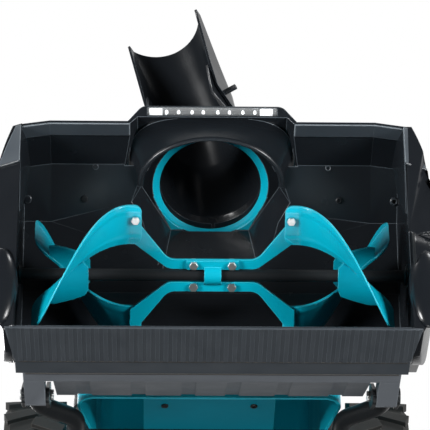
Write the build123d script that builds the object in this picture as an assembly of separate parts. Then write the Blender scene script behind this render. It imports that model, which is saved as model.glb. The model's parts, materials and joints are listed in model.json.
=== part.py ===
from build123d import *
import os
from math import atan2, cos, radians, sin

# A walk-behind battery snow blower with a single-stage auger, 508 mm clearing width.
# Millimetres. X to the right as seen from the front, Y from the cutting edge to the back, Z up.
# Every node is moved along Y at the end, so that the origin is under the middle of the machine.

# Common clearances and walls
wall = 4.0                # moulded wall of the housing
running_gap = 0.05        # radial clearance of a shaft in its bearing
part_gap = 0.5            # clearance between pieces that move past each other
seat_gap = 0.1            # clearance between curved pieces that are fixed together

# Auger
auger_y = 59.0
auger_z = 119.0
auger_radius = 98.0
shaft_radius = 8.0
flight_thickness = 4.5
flight_clear = 0.3        # between the ribbon and the paddle plate it is bolted to
flight_inner_radius = 45.0
flight_start = 93.0       # X of the flight's bolted tab
flight_turn_from = 108.0  # X where the ribbon leaves the paddle's plane
flight_end = 234.0
flight_tip = 10.0         # length over which the ribbon's end is rounded
flight_steps = 8          # sections of the ribbon
flight_rate = 1.385       # degrees of turn per millimetre along the shaft
flight_lag = 60.0         # length over which the turn builds up
flange_radius = 46.0      # inside of the ribbon's stiffening flange
flange_thickness = 4.0
flange_facing = 235.0     # degrees, the middle of the flange
flange_root = 3.0         # degrees from the ribbon's face to the flange's root
flange_edge = (           # X and degrees round the shaft, along the flange's free edge
    (168, 190), (161, 200), (161, 235), (165, 246), (180, 254), (195, 261), (206, 266), (215, 264),
)
flange_roots = (215, 206, 195, 185, 175)
paddle_angle = 145.0      # degrees from +Y towards +Z, at rest
paddle_thickness = 4.0
paddle_waist = 58.0       # X where the paddle bends outwards
paddle_inner = 8.5
paddle_width = 13.0
paddle_tip_low = 48.0
paddle_tip_high = 86.0    # under the flight's tab
paddle_arm_high = 68.0    # where the arm meets the tab
paddle_step = 1.0         # how far the paddle's end stays behind the tab
hub_radius = 13.0
hub_half = 11.0
hub_wing_half = 34.0
auger_bolt_radius = 3.0
auger_bolt_x = 25.0
tab_bolt_x = 101.0
tab_bolt_radius = 78.0
bolt_head = 4.0

# Intake housing, as inside sizes
intake_half = 254.0
drum_gap = 14.0           # from the auger's edge to the drum wall
drum_angle = 20.0         # top end of the drum's arc, above level
rim_y = 10.0
rim_z = 327.0
rim_depth = 26.0
roof_depth = 58.0
roof_fall = 8.0
back_depth = 54.0
back_fall = 58.0
facet_width = 37.0        # sloping ends of the roof
facet_fall = 6.0
lip_y = 4.0
open_reach = 70.0         # how far the cutting shapes run past the mouth

# Throat, in its own plane: X, depth to the back and height along the chute's axis
throat_y = 150.0
throat_z = 324.0
throat_tilt = 26.0
throat_radius = 95.0
throat_seat = 20.0        # height of the chute's seat over the ring's foot
ring_height = 14.0
ring_mouth = 79.0
ring_neck = 70.0
ring_lip = 3.0            # housing lip that carries the ring
funnel_back = 70.5
funnel_back_half = 54.0
funnel_front = 40.0
funnel_flare = 45.0       # how much wider each side is at the foot
funnel_back_flare = 16.0
funnel_drop = 160.0

# Hood and work light
hood_foot = 112.0
hood_top = 94.0
hood_rise = 29.0
hood_depth = 112.0
hood_round = 14.0
pocket_rise = 11.0        # the channel under the hood, narrowing towards the throat
pocket_depth = 96.0
pocket_front_half = 100.0
pocket_back_half = 82.0
pocket_round = 6.0
light_half = 87.0
light_height = 12.0
light_depth = 12.0
light_proud = 4.0
light_drop = 3.0
board_thickness = 2.0

# Side covers and belt drive
cover_bottom = 7.0        # how far the covers stand out at the bottom
cover_middle = 33.0
cover_top = 5.0
cover_wall = 4.0
plate_thickness = 3.0
motor_y = 330.0
motor_z = 170.0
auger_pulley_radius = 46.0
motor_pulley_radius = 16.0
belt_thickness = 4.0
belt_width = 12.0
pulley_flange = 2.0
pulley_lip = 5.0
belt_room = 8.0
bearing_radius = 16.0
bearing_width = 10.0
motor_radius = 42.0
motor_length = 106.0
motor_wall = 4.0
motor_nose = 17.0
motor_outer_x = 156.0
rotor_shaft_radius = 6.0
rotor_radius = 25.0
stator_radius = 33.0
rotor_gap = 0.6

# Scraper and belly
scraper_depth = 81.0
scraper_front_half = 265.0
scraper_rear_half = 255.0
scraper_rib_pitch = 11.0
scraper_rib_height = 1.2
strip_depth = 31.0
strip_lift = 0.8
skirt_depth = 21.0
belly_half = 206.0
belly_run = 138.0
belly_rise = 57.0
belly_thickness = 4.0
pad_height = 4.0
pad_widths = (40.0, 48.0, 54.0, 28.0)
pad_gap = 19.0
lug_inner = 219.0
lug_outer = 246.0
lug_back = 208.0
lug_height = 28.0

# Chute, in the throat's plane turned towards the discharge side
chute_turn = 32.0
chute_wall = 3.5
chute_flange = 104.0
chute_flange_height = 5.0
chute_base_radius = 77.0
chute_top_half = 48.0
chute_neck_height = 104.0 # the sides are parallel from here up, so the deflector can tilt
chute_top_height = 165.0
chute_top_centre = 40.0
chute_lip = 88.0
chute_foot_share = 0.7    # reach of the walls at the foot, of that at the lip
deflector_foot_share = 0.8
deflector_pivot_out = 46.0
deflector_pivot_height = 146.0
deflector_gap = 1.6
deflector_tip_half = 58.0
deflector_tip_out = 128.0
deflector_tip_height = 266.0
deflector_tip_depth = 44.0
deflector_foot_height = 128.0
pivot_radius = 4.0

# Wheels and frame
wheel_y = 560.0
wheel_radius = 100.0
wheel_inner = 203.0
wheel_outer = 291.0
tyre_wall = 26.0
lug_depth = 7.0
lugs_per_side = 14
axle_radius = 8.0
axle_cap = 4.0
frame_tube_radius = 12.5
frame_tube_wall = 2.0
frame_front_y = 229.0
frame_front_z = 36.0
frame_nose = 12.0         # how far the tube runs past its front pin
frame_x = 182.0
frame_straight = 24.0     # straight run behind the front pin
frame_bend_y = 306.0
frame_low_z = 44.0
frame_rise_y = 480.0
frame_share = 0.4         # share of the rise that belongs to the frame tube
frame_bend_radius = 36.0
frame_pin_radius = 4.0
bracket_thickness = 5.0
sleeve_length = 84.0
sleeve_wall = 2.5
axle_shoulder = 12.0
cross_front_y = 380.0
cross_rear_y = 440.0
cross_depth = 26.0
cross_thickness = 5.0

# Cowl and batteries
cowl_front_half = 188.0
cowl_half = 160.0
cowl_waist_y = 390.0
cowl_front_y = 280.0
cowl_back_y = 640.0
cowl_shoulder_z = 290.0
cowl_top_z = 405.0
cowl_top_front_y = 345.0
cowl_back_z = 300.0
cowl_tail = 24.0          # flat top behind the battery tub
cowl_step_y = 456.0       # the bottom rises here, ahead of the axle
cowl_step_run = 40.0
cowl_step_z = 136.0
cowl_wall = 3.5
cowl_round = 24.0
under_half = 90.0
under_thickness = 4.0
tub_half = 112.0
tub_front_y = 372.0
tub_back_y = 566.0
tub_depth = 96.0
tub_wall = 3.0
tub_flange = 7.0
tub_flange_height = 4.0
battery_width = 84.0
battery_room = 19.0       # free length at each end of a pack
battery_height = 78.0
lid_height = 22.0
lid_wall = 3.0
lid_pin_radius = 3.0
vent_count = 6
vent_pitch = 22.0
vent_width = 8.0
vent_length = 60.0

# Handle
handle_tube_radius = 12.5
handle_tube_wall = 2.0
fold_y = 880.0
fold_z = 600.0
fold_washer = 2.0
fold_pin_radius = 5.0
fold_boss = 18.0
fold_boss_half = 13.25
handle_length = 440.0
handle_slope = 55.0
handle_corner = 60.0
grip_length = 80.0
grip_wall = 4.0
switch_half = 58.0
switch_low = 40.0         # below the bar, along the handle
switch_high = 15.0
switch_front = 16.0
switch_back = 40.0
bail_radius = 4.5
bail_drop = 70.0          # from the bar down to the bail's pivots
bail_stand = 66.0         # from the bar out to the released bail
bail_eye = 9.0
bail_eye_width = 8.0
bail_pin_radius = 4.0
bail_corner = 22.0
button_radius = 9.0
button_travel = 5.0
button_stand = 7.0
button_root = 8.0
button_x = 26.0
knob_radius = 22.0
knob_lobes = 6
knob_height = 18.0

# Worked out from the sizes above
drum_radius = auger_radius + drum_gap
floor_z = auger_z - drum_radius
roof_y = rim_y + rim_depth + roof_depth
crease_y = roof_y + back_depth
crease_z = rim_z - roof_fall - back_fall
hood_z = rim_z + hood_rise
side_x = intake_half + wall
plate_x = side_x + plate_thickness
belt_x = plate_x + belt_room
cover_x = side_x + cover_middle
strip_y = scraper_depth + strip_depth
skirt_y = strip_y + skirt_depth
throat = Plane(
    origin=(0, throat_y, throat_z),
    x_dir=(1, 0, 0),
    z_dir=(0, sin(radians(throat_tilt)), cos(radians(throat_tilt))),
)
chute_plane = Plane(throat.location * Rot(0, 0, -chute_turn))
auger_plane = Plane(
    origin=(0, auger_y, auger_z),
    x_dir=(1, 0, 0),
    z_dir=(0, -sin(radians(paddle_angle)), cos(radians(paddle_angle))),
)
frame_front_x = (lug_inner + lug_outer) / 2
frame_up = Vector(0, fold_y - frame_rise_y, fold_z - frame_low_z)
frame_end = Vector(frame_x, frame_rise_y, frame_low_z) + frame_up * frame_share
cross_z = frame_low_z + frame_tube_radius
cowl_bottom_z = cross_z + cross_thickness
handle_half = frame_x + 2 * fold_boss_half + fold_washer
handle_plane = Plane(
    origin=(0, fold_y, fold_z),
    x_dir=(1, 0, 0),
    z_dir=(0, -sin(radians(handle_slope)), cos(radians(handle_slope))),
)
button_back = handle_tube_radius + button_radius + 3 * part_gap
lid_hinge_y = tub_back_y + tub_flange + 2 * lid_pin_radius + part_gap
lid_hinge_z = cowl_top_z + tub_flange_height + lid_pin_radius

nodes = {}


def polygon(points):
    return make_face(Polyline(*points, close=True).edges())


def along_x(face, low, high):
    return extrude(Pos(low, 0, 0) * (Plane.YZ * face), high - low, dir=(1, 0, 0))


def x_cylinder(radius, low, high, y, z):
    return Pos((low + high) / 2, y, z) * Rot(0, 90, 0) * Cylinder(radius, high - low)


def both_sides(part):
    return [part, mirror(part, about=Plane.YZ)]


def hull_face(circles):
    rings = [Pos(y, z) * Circle(r) for y, z, r in circles]
    return make_hull([edge for ring in rings for edge in ring.edges()])


def sweep_round(path, radius, bore=0.0):
    start = Plane(origin=path @ 0, z_dir=path % 0)
    ring = Circle(radius) - Circle(bore) if bore else Circle(radius)
    return sweep(start * ring, path=path)


def on_plane(plane, part):
    return plane.location * part


# Auger housing
def housing_region(fall, grow):
    low = rim_z - fall
    drum = CenterArc((auger_y, auger_z), drum_radius, drum_angle, -90 - drum_angle)
    roof = Polyline(
        (-open_reach, low),
        (rim_y + rim_depth, low),
        (roof_y, low - roof_fall),
        (crease_y, crease_z),
        drum @ 0,
    )
    floor = Polyline(drum @ 1, (-open_reach, floor_z), roof @ 0)
    face = make_face(roof.edges() + drum.edges() + floor.edges())
    return offset(face, grow, kind=Kind.INTERSECTION) if grow else face


def housing_block(grow):
    bend = intake_half - facet_width
    half = intake_half + grow
    fall = facet_fall * (facet_width + grow) / facet_width
    middle = along_x(housing_region(0, grow), -bend, bend)
    end = loft(
        [
            Pos(bend, 0, 0) * (Plane.YZ * housing_region(0, grow)),
            Pos(half, 0, 0) * (Plane.YZ * housing_region(fall, grow)),
        ],
        ruled=True,
    )
    return middle + both_sides(end)


def mouth_cut():
    outline = polygon([
        (-2 * open_reach, -open_reach),
        (lip_y, -open_reach),
        (lip_y, floor_z),
        (rim_y, rim_z),
        (rim_y, rim_z + open_reach),
        (-2 * open_reach, rim_z + open_reach),
    ])
    return along_x(outline, -2 * intake_half, 2 * intake_half)


def funnel_section(flare, back_flare, grow):
    back = funnel_back_half + back_flare + grow
    side = throat_radius + flare + grow
    front = side * 0.9
    return polygon([
        (-back, funnel_back + grow),
        (back, funnel_back + grow),
        (side, 0),
        (front, -funnel_front),
        (-front, -funnel_front),
        (-side, 0),
    ])


def funnel(grow):
    top_plane = throat * Pos(0, 0, -ring_lip)
    top = top_plane * funnel_section(0, 0, grow)
    foot_plane = throat * Pos(0, 0, -funnel_drop)
    foot = foot_plane * funnel_section(funnel_flare, funnel_back_flare, grow)
    return loft([top, foot], ruled=True)


def throat_front(radius):
    half_disc = make_face(
        CenterArc((0, 0), radius, 180, 180).edges() + Line((-radius, 0), (radius, 0)).edges()
    )
    return on_plane(throat, extrude(Pos(0, 0, -funnel_drop / 2) * half_disc, funnel_drop / 2 - ring_lip))


def throat_tube(radius, low, high):
    return on_plane(throat, Pos(0, 0, (low + high) / 2) * Cylinder(radius, high - low))


def hood(foot, top, low, high, front, back):
    outline = Plane.XZ * polygon([(-foot, low), (foot, low), (top, high), (-top, high)])
    block = extrude(Pos(0, front, 0) * outline, back - front, dir=(0, 1, 0))
    long_edges = block.edges().filter_by(Axis.Y).sort_by(Axis.Z)[-2:]
    return fillet(long_edges, hood_round)


def hood_pocket():
    low = rim_z - roof_fall
    plan = polygon([
        (-pocket_front_half, -open_reach),
        (pocket_front_half, -open_reach),
        (pocket_front_half, rim_y),
        (pocket_back_half, rim_y + pocket_depth),
        (-pocket_back_half, rim_y + pocket_depth),
        (-pocket_front_half, rim_y),
    ])
    block = Pos(0, 0, low) * extrude(plan, rim_z + pocket_rise - low)
    top_edges = block.edges().group_by(Axis.Z)[-1]
    return fillet([edge for edge in top_edges if abs((edge % 0.5).X) < 0.5], pocket_round)


def light_box(grow):
    depth = light_depth + light_proud
    height = light_height + 2 * grow
    y = rim_y - light_proud + depth / 2
    z = hood_z - light_drop - light_height / 2
    return Pos(0, y + grow, z) * Box(2 * (light_half + grow), depth + 2 * grow, height)


def make_housing():
    shell = housing_block(wall) - mouth_cut()
    shell += hood(hood_foot + wall, hood_top, rim_z, hood_z, rim_y, rim_y + hood_depth)
    shell += throat_tube(throat_radius + wall, -throat_radius / 2, throat_seat)
    shell += funnel(wall)
    shell -= housing_block(0) + hood_pocket()
    shell -= funnel(0)
    shell -= throat_front(throat_radius)
    shell -= throat_tube(throat_radius, 0, 2 * throat_seat)
    shell -= throat_tube(ring_mouth + part_gap, -2 * ring_lip, ring_lip)
    board_room = Pos(0, board_thickness, 0) * light_box(seat_gap)
    shell -= light_box(seat_gap) + board_room
    for x in (-intake_half, intake_half):
        shell -= x_cylinder(bearing_radius, x - 2 * wall, x + 2 * wall, auger_y, auger_z)
    return shell


def make_throat_ring():
    profile = polygon([
        (ring_mouth, 0),
        (throat_radius - seat_gap, 0),
        (throat_radius - seat_gap, ring_height),
        (ring_neck, ring_height),
    ])
    return on_plane(throat, revolve(Plane.XZ * profile, Axis.Z))


def make_light():
    lens = fillet(light_box(0).edges().filter_by(Axis.Z), light_depth / 4)
    board = Pos(0, rim_y + light_depth + board_thickness / 2, hood_z - light_drop - light_height / 2)
    board *= Box(2 * light_half, board_thickness, light_height)
    return lens, board


# Side covers and belt drive
def cover_bulge(low, high):
    inner = side_x
    outer = Spline(
        (inner + cover_bottom, 0),
        (inner + cover_middle * 0.85, auger_z / 2),
        (inner + cover_middle, auger_z * 1.2),
        (inner + cover_middle * 0.8, rim_z * 0.8),
        (inner + cover_top, rim_z + wall),
    )
    inside = Polyline(outer @ 1, (inner, rim_z + wall), (inner, 0), outer @ 0)
    face = make_face(outer.edges() + inside.edges())
    return extrude(Pos(0, low, 0) * (Plane.XZ * face), high - low, dir=(0, 1, 0))


def cover_outline():
    fall = facet_fall * (facet_width + wall) / facet_width
    return along_x(housing_region(fall, wall), side_x, cover_x + wall) - mouth_cut()


def make_left_cover():
    cover = cover_outline() & cover_bulge(-open_reach, crease_y * 2)
    cover -= x_cylinder(bearing_radius, side_x, side_x + bearing_width, auger_y, auger_z)
    return mirror(cover, about=Plane.YZ)


def belt_case(extra):
    return hull_face([
        (auger_y, auger_z, auger_pulley_radius + belt_thickness + extra),
        (motor_y, motor_z, motor_pulley_radius + belt_thickness + extra),
    ])


def make_drive_plate():
    plate = along_x(belt_case(belt_room + cover_wall), side_x, plate_x)
    plate -= x_cylinder(bearing_radius, side_x, plate_x, auger_y, auger_z)
    plate -= x_cylinder(motor_nose - motor_wall, side_x, plate_x, motor_y, motor_z)
    return plate


def make_drive_cover():
    case = along_x(belt_case(belt_room + cover_wall), side_x, cover_x + wall)
    cover = (cover_outline() + case) & cover_bulge(-open_reach, 2 * motor_y)
    cover -= along_x(belt_case(belt_room + cover_wall), side_x, plate_x)
    cover -= along_x(belt_case(belt_room), side_x, cover_x - 1.5 * cover_wall)
    return cover


def pulley(radius, bore, y, z):
    low = belt_x - pulley_flange
    high = belt_x + belt_width + pulley_flange
    body = x_cylinder(radius, low, high, y, z)
    for x in (low, high - pulley_flange):
        body += x_cylinder(radius + pulley_lip, x, x + pulley_flange, y, z)
    return body - x_cylinder(bore, low, high, y, z)


def make_belt():
    outer = hull_face([
        (auger_y, auger_z, auger_pulley_radius + part_gap + belt_thickness),
        (motor_y, motor_z, motor_pulley_radius + part_gap + belt_thickness),
    ])
    inner = hull_face([
        (auger_y, auger_z, auger_pulley_radius + part_gap),
        (motor_y, motor_z, motor_pulley_radius + part_gap),
    ])
    return along_x(outer - inner, belt_x + part_gap, belt_x + belt_width - part_gap)


def make_bearings():
    bearings = []
    for low in (-intake_half - bearing_width, intake_half):
        race = x_cylinder(bearing_radius - seat_gap, low, low + bearing_width, auger_y, auger_z)
        bore = x_cylinder(shaft_radius + running_gap, low, low + bearing_width, auger_y, auger_z)
        bearings.append(race - bore)
    return bearings


def make_motor():
    inner_x = motor_outer_x - motor_length
    can = x_cylinder(motor_radius, inner_x, motor_outer_x, motor_y, motor_z)
    can += x_cylinder(motor_nose, motor_outer_x, side_x, motor_y, motor_z)
    can -= x_cylinder(stator_radius, inner_x + motor_wall, motor_outer_x - motor_wall, motor_y, motor_z)
    bore = rotor_shaft_radius + running_gap
    can -= x_cylinder(bore, inner_x + motor_wall, side_x, motor_y, motor_z)
    stator = x_cylinder(stator_radius - seat_gap, inner_x + 3 * motor_wall,
                        motor_outer_x - 3 * motor_wall, motor_y, motor_z)
    stator -= x_cylinder(rotor_radius + rotor_gap, inner_x, motor_outer_x, motor_y, motor_z)
    end = belt_x + belt_width + pulley_flange
    rotor = x_cylinder(rotor_shaft_radius, inner_x + motor_wall + part_gap, end, motor_y, motor_z)
    rotor += x_cylinder(rotor_radius, inner_x + 3 * motor_wall, motor_outer_x - 3 * motor_wall,
                        motor_y, motor_z)
    return can, stator, rotor


# Auger
def flight_angle(x):
    past = max(0.0, x - flight_turn_from)
    return paddle_angle + flight_rate * past * past / (past + flight_lag)


def flight_section(x, low, high):
    angle = radians(flight_angle(x))
    plane = Plane(origin=(x, auger_y, auger_z), x_dir=(0, cos(angle), sin(angle)), z_dir=(1, 0, 0))
    blade = Rectangle(high - low, flight_thickness)
    return plane * (Pos((low + high) / 2, flight_thickness / 2 + flight_clear) * blade)


def make_flight():
    low = flight_inner_radius
    high = auger_radius
    rounding = (high - low) / 4
    outline = polygon([
        (flight_start, low),
        (flight_turn_from, low),
        (flight_turn_from, high),
        (flight_start, high),
    ])
    corners = outline.vertices().group_by(Axis.X)[0]
    tab = extrude(Pos(0, 0, flight_clear) * fillet(corners, flight_tip), flight_thickness) - bolt_holes()
    run = flight_end - flight_tip - flight_turn_from
    sections = []
    for step in range(flight_steps + 1):
        sections.append(flight_section(flight_turn_from + run * step / flight_steps, low, high))
    sections.append(flight_section(flight_end - flight_tip / 3, low + rounding / 3, high - rounding / 3))
    sections.append(flight_section(flight_end, low + rounding, high - rounding))
    return on_plane(auger_plane, tab) + loft(sections) + make_flange()


def make_flange():
    facing = radians(flange_facing)
    roots = [(x, flight_angle(x) + flange_root) for x in flange_roots]
    outline = polygon([
        (x, flange_radius * sin(facing - radians(angle))) for x, angle in flange_edge + tuple(roots)
    ])
    plane = Plane(origin=(0, auger_y, auger_z), x_dir=(1, 0, 0), z_dir=(0, cos(facing), sin(facing)))
    prism = extrude(plane * outline, auger_radius)
    tube = x_cylinder(flange_radius + flange_thickness, 0, flight_end, auger_y, auger_z)
    return prism & (tube - x_cylinder(flange_radius, 0, flight_end, auger_y, auger_z))


def half_turn(part):
    return Pos(0, auger_y, auger_z) * Rot(180, 0, 0) * Pos(0, -auger_y, -auger_z) * part


def make_paddle():
    tip = flight_turn_from
    step = flight_start + paddle_step
    top = paddle_inner + paddle_width
    outline = polygon([
        (-tip, paddle_tip_low),
        (-paddle_waist, paddle_inner),
        (paddle_waist, paddle_inner),
        (tip, paddle_tip_low),
        (tip, paddle_tip_high),
        (step, paddle_tip_high),
        (step, paddle_arm_high),
        (paddle_waist, top),
        (-paddle_waist, top),
        (-step, paddle_arm_high),
        (-step, paddle_tip_high),
        (-tip, paddle_tip_high),
    ])
    bends = [v for v in outline.vertices() if abs(v.X) < paddle_waist + paddle_step]
    outline = fillet(bends, paddle_waist / 3)
    plate = extrude(Pos(0, 0, -paddle_thickness) * outline, paddle_thickness)
    hub_room = Rot(0, 90, 0) * Cylinder(hub_radius + seat_gap, 2 * hub_half + 2 * seat_gap)
    plate -= hub_room
    plate -= bolt_holes()
    return on_plane(auger_plane, plate)


def bolt_places():
    hub_row = paddle_inner + paddle_width / 2
    return [(x, hub_row) for x in (-auger_bolt_x, auger_bolt_x)]


def tab_bolt_places():
    return [(x, tab_bolt_radius) for x in (-tab_bolt_x, tab_bolt_x)]


def bolt_holes():
    places = bolt_places() + tab_bolt_places()
    hole = Cylinder(auger_bolt_radius + seat_gap, 8 * paddle_thickness)
    return [Pos(x, r, 0) * hole for x, r in places]


def make_hub():
    hub = Rot(0, 90, 0) * Cylinder(hub_radius, 2 * hub_half)
    centre = paddle_inner + paddle_width / 2
    wing = Pos(0, centre, paddle_thickness / 2) * Box(
        2 * hub_wing_half, paddle_width - 2 * part_gap, paddle_thickness)
    hub += wing + Rot(180, 0, 0) * wing
    hub -= Rot(0, 90, 0) * Cylinder(shaft_radius + running_gap, 4 * hub_half)
    for x, r in bolt_places():
        hole = Pos(x, r, 0) * Cylinder(auger_bolt_radius + seat_gap, 8 * paddle_thickness)
        hub -= [hole, Rot(180, 0, 0) * hole]
    return on_plane(auger_plane, hub)


def make_auger_bolts():
    bolts = []
    hexagon = extrude(RegularPolygon(2 * auger_bolt_radius, 6), bolt_head)
    for x, r in bolt_places() + tab_bolt_places():
        front = paddle_thickness if abs(x) < hub_wing_half else flight_clear + flight_thickness
        shank = Pos(0, 0, (front - paddle_thickness) / 2) * Cylinder(
            auger_bolt_radius, front + paddle_thickness)
        head = Pos(0, 0, front) * fillet(hexagon.edges().filter_by(GeomType.LINE).group_by(Axis.Z)[-1], 1)
        nut = Pos(0, 0, -paddle_thickness - bolt_head) * hexagon
        bolt = Pos(x, r, 0) * (shank + head + nut)
        bolts += [bolt, Rot(180, 0, 0) * bolt]
    return [on_plane(auger_plane, bolt) for bolt in bolts]


def make_shaft():
    end = belt_x + belt_width + pulley_flange
    shaft = x_cylinder(shaft_radius, -intake_half - bearing_width, end, auger_y, auger_z)
    collar = shaft_radius * 1.6
    high = intake_half - part_gap
    return shaft + both_sides(x_cylinder(collar, high - wall, high, auger_y, auger_z))


# Scraper and belly
def make_scraper():
    count = int(scraper_front_half // scraper_rib_pitch)
    top = floor_z - wall
    points = [(-scraper_front_half, top), (scraper_front_half, top), (scraper_front_half, 0)]
    for i in range(count, -count - 1, -1):
        x = i * scraper_rib_pitch
        quarter = scraper_rib_pitch / 4
        points += [(x + quarter, 0), (x + quarter, scraper_rib_height)]
        points += [(x - quarter, scraper_rib_height), (x - quarter, 0)]
    points.append((-scraper_front_half, 0))
    comb = extrude(Plane.XZ * polygon(points), scraper_depth, dir=(0, 1, 0))
    plan = extrude(polygon([
        (-scraper_front_half, 0),
        (scraper_front_half, 0),
        (scraper_rear_half, scraper_depth),
        (-scraper_rear_half, scraper_depth),
    ]), top)
    return comb & plan


def make_clamp_strip():
    bar = along_x(polygon([
        (scraper_depth, strip_lift),
        (strip_y, strip_lift),
        (strip_y, auger_z / 2),
        (scraper_depth, auger_z / 2),
    ]), -scraper_rear_half, scraper_rear_half)
    return bar - x_cylinder(drum_radius + wall + seat_gap, -side_x, side_x, auger_y, auger_z)


def pad_spans():
    spans = [(-pad_widths[0] / 2, pad_widths[0] / 2)]
    edge = pad_widths[0] / 2
    for width in pad_widths[1:]:
        low = edge + pad_gap
        edge = low + width
        spans += [(low, edge), (-edge, -low)]
    return spans


def make_belly():
    slope = atan2(belly_rise, belly_run)
    normal = (-sin(slope), cos(slope))
    start = (skirt_y, strip_lift + pad_height)
    end = (skirt_y + belly_run, start[1] + belly_rise)
    lift = [(p[0] + normal[0] * belly_thickness, p[1] + normal[1] * belly_thickness)
            for p in (start, end)]
    tray = along_x(polygon([
        (strip_y, strip_lift),
        (skirt_y, strip_lift),
        start,
        end,
        lift[1],
        lift[0],
        (strip_y, lift[0][1]),
    ]), -belly_half, belly_half)
    pad_low = [(p[0] - normal[0] * pad_height, p[1] - normal[1] * pad_height) for p in (start, end)]
    inset = pad_height * 2
    back = (end[0] - inset, end[1] - inset * belly_rise / belly_run)
    back_low = (pad_low[1][0] - 2 * inset, pad_low[1][1] - 2 * inset * belly_rise / belly_run)
    for low, high in pad_spans():
        tray += along_x(polygon([(skirt_y, strip_lift), pad_low[0], back_low, back, start]), low, high)
    skirt_end = along_x(polygon([
        (strip_y, strip_lift),
        (skirt_y, strip_lift),
        (skirt_y, lift[0][1]),
        (strip_y, lift[0][1]),
    ]), belly_half, lug_outer)
    lug = Pos((skirt_y + lug_back) / 2 - skirt_depth / 4, strip_lift + lug_height / 2)
    lug *= SlotOverall(lug_back - skirt_y + skirt_depth / 2, lug_height)
    lug = along_x(lug, lug_inner, lug_outer)
    for part in (skirt_end, lug):
        tray += both_sides(part)
    tray -= both_sides(sweep_round(frame_path(), frame_tube_radius + 2 * part_gap))
    return tray - x_cylinder(drum_radius + wall + seat_gap, -side_x, side_x, auger_y, auger_z)


# Chute and deflector
def channel_section(half, side, back, lip, height):
    arc = ThreePointArc((half, -side), (0, -back), (-half, -side))
    walls = Polyline(arc @ 1, (-half, -lip), (half, -lip), arc @ 0)
    return Pos(0, 0, height) * make_face(arc.edges() + walls.edges())


def chute_channel(grow, lip_extra):
    foot = throat_seat + chute_flange_height
    base = chute_base_radius - chute_wall + grow
    top = chute_top_half + grow
    foot_lip = chute_lip * chute_foot_share
    share = chute_lean(chute_neck_height)
    centre = chute_top_centre * share
    neck_lip = foot_lip + (chute_lip - foot_lip) * share + lip_extra
    lip = chute_lip + lip_extra
    sections = [
        channel_section(base, 0, -base, foot_lip + lip_extra, foot),
        channel_section(top, centre, centre - top, neck_lip, chute_neck_height),
        channel_section(top, chute_top_centre, chute_top_centre - top, lip, chute_top_height),
    ]
    return loft(sections[:2], ruled=True) + loft(sections[1:], ruled=True)


def make_chute():
    foot = throat_seat + chute_flange_height
    low = throat_seat + part_gap
    spigot = throat_radius - running_gap - seat_gap / 2
    collar = Pos(0, 0, (ring_height + part_gap + foot) / 2) * Cylinder(spigot, foot - ring_height - part_gap)
    collar += Pos(0, 0, (low + foot) / 2) * Cylinder(chute_flange, foot - low)
    apron = chute_wall * 5
    collar += Pos(0, 0, foot + apron / 2) * Cylinder(chute_base_radius, apron)
    collar -= Pos(0, 0, foot) * Cylinder(ring_neck, 4 * foot)
    channel = chute_channel(chute_wall, 0) - chute_channel(0, chute_base_radius)
    chute = collar + channel
    chute -= pivot_axis(pivot_radius + seat_gap, 2 * chute_flange)
    return on_plane(chute_plane, chute)


def pivot_axis(radius, length):
    place = Pos(0, -deflector_pivot_out, deflector_pivot_height)
    return place * Rot(0, 90, 0) * Cylinder(radius, length)


def chute_lean(height):
    foot = throat_seat + chute_flange_height
    return (height - foot) / (chute_top_height - foot)


def deflector_shell(grow, lip_extra):
    centre = chute_top_centre * chute_lean(deflector_foot_height)
    top = chute_top_half + chute_wall + deflector_gap + grow
    tip = deflector_tip_half - chute_wall + grow
    tip_back = deflector_tip_out - deflector_tip_depth - grow
    tip_side = deflector_tip_out - deflector_tip_depth / 4
    foot_lip = chute_lip * deflector_foot_share
    lips = [reach + lip_extra for reach in (foot_lip, chute_lip, deflector_tip_out)]
    sections = [
        channel_section(top, centre, centre - top, lips[0], deflector_foot_height),
        channel_section(top, chute_top_centre, chute_top_centre - top, lips[1], chute_top_height),
        channel_section(tip, tip_side, tip_back, lips[2], deflector_tip_height),
    ]
    return loft(sections[:2], ruled=True) + loft(sections[1:], ruled=True)


def make_deflector():
    shell = deflector_shell(chute_wall, 0) - deflector_shell(0, chute_base_radius)
    shell -= pivot_axis(pivot_radius + running_gap, 4 * chute_top_half)
    return on_plane(chute_plane, shell)


def make_deflector_pins():
    pins = []
    inner = chute_top_half - 2
    outer = deflector_tip_half + 4 * chute_wall
    for side in (-1, 1):
        shank = Pos(side * (inner + outer) / 2, 0, 0) * Rot(0, 90, 0) * Cylinder(pivot_radius, outer - inner)
        pins.append(Pos(0, -deflector_pivot_out, deflector_pivot_height) * shank)
    return [on_plane(chute_plane, pin) for pin in pins]


# Wheels and frame
def wheel_place(part):
    return Pos(0, wheel_y, wheel_radius) * part


def make_tyre():
    carcass = wheel_radius - lug_depth
    seat = carcass - tyre_wall
    shoulder = tyre_wall / 3
    profile = polygon([
        (wheel_inner, seat),
        (wheel_outer, seat),
        (wheel_outer, carcass - shoulder),
        (wheel_outer - shoulder, carcass),
        (wheel_inner + shoulder, carcass),
        (wheel_inner, carcass - shoulder),
    ])
    tyre = revolve(Plane.XZ * profile, Axis.X)
    width = wheel_outer - wheel_inner
    block = Box(width * 0.52, wheel_radius * 0.16, 2 * lug_depth)
    lugs = []
    for side, phase in ((-1, 0.0), (1, 0.5)):
        middle = (wheel_inner + wheel_outer) / 2 + side * width * 0.23
        lug = Pos(middle, 0, -wheel_radius + lug_depth / 2) * Rot(0, 0, side * 22) * block
        for i in range(lugs_per_side):
            lugs.append(Rot((i + phase) * 360 / lugs_per_side, 0, 0) * lug)
    tread = x_cylinder(wheel_radius, wheel_inner, wheel_outer, 0, 0)
    bore = x_cylinder(seat, wheel_inner, wheel_outer, 0, 0)
    return wheel_place(((tyre + lugs) & tread) - bore)


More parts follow.
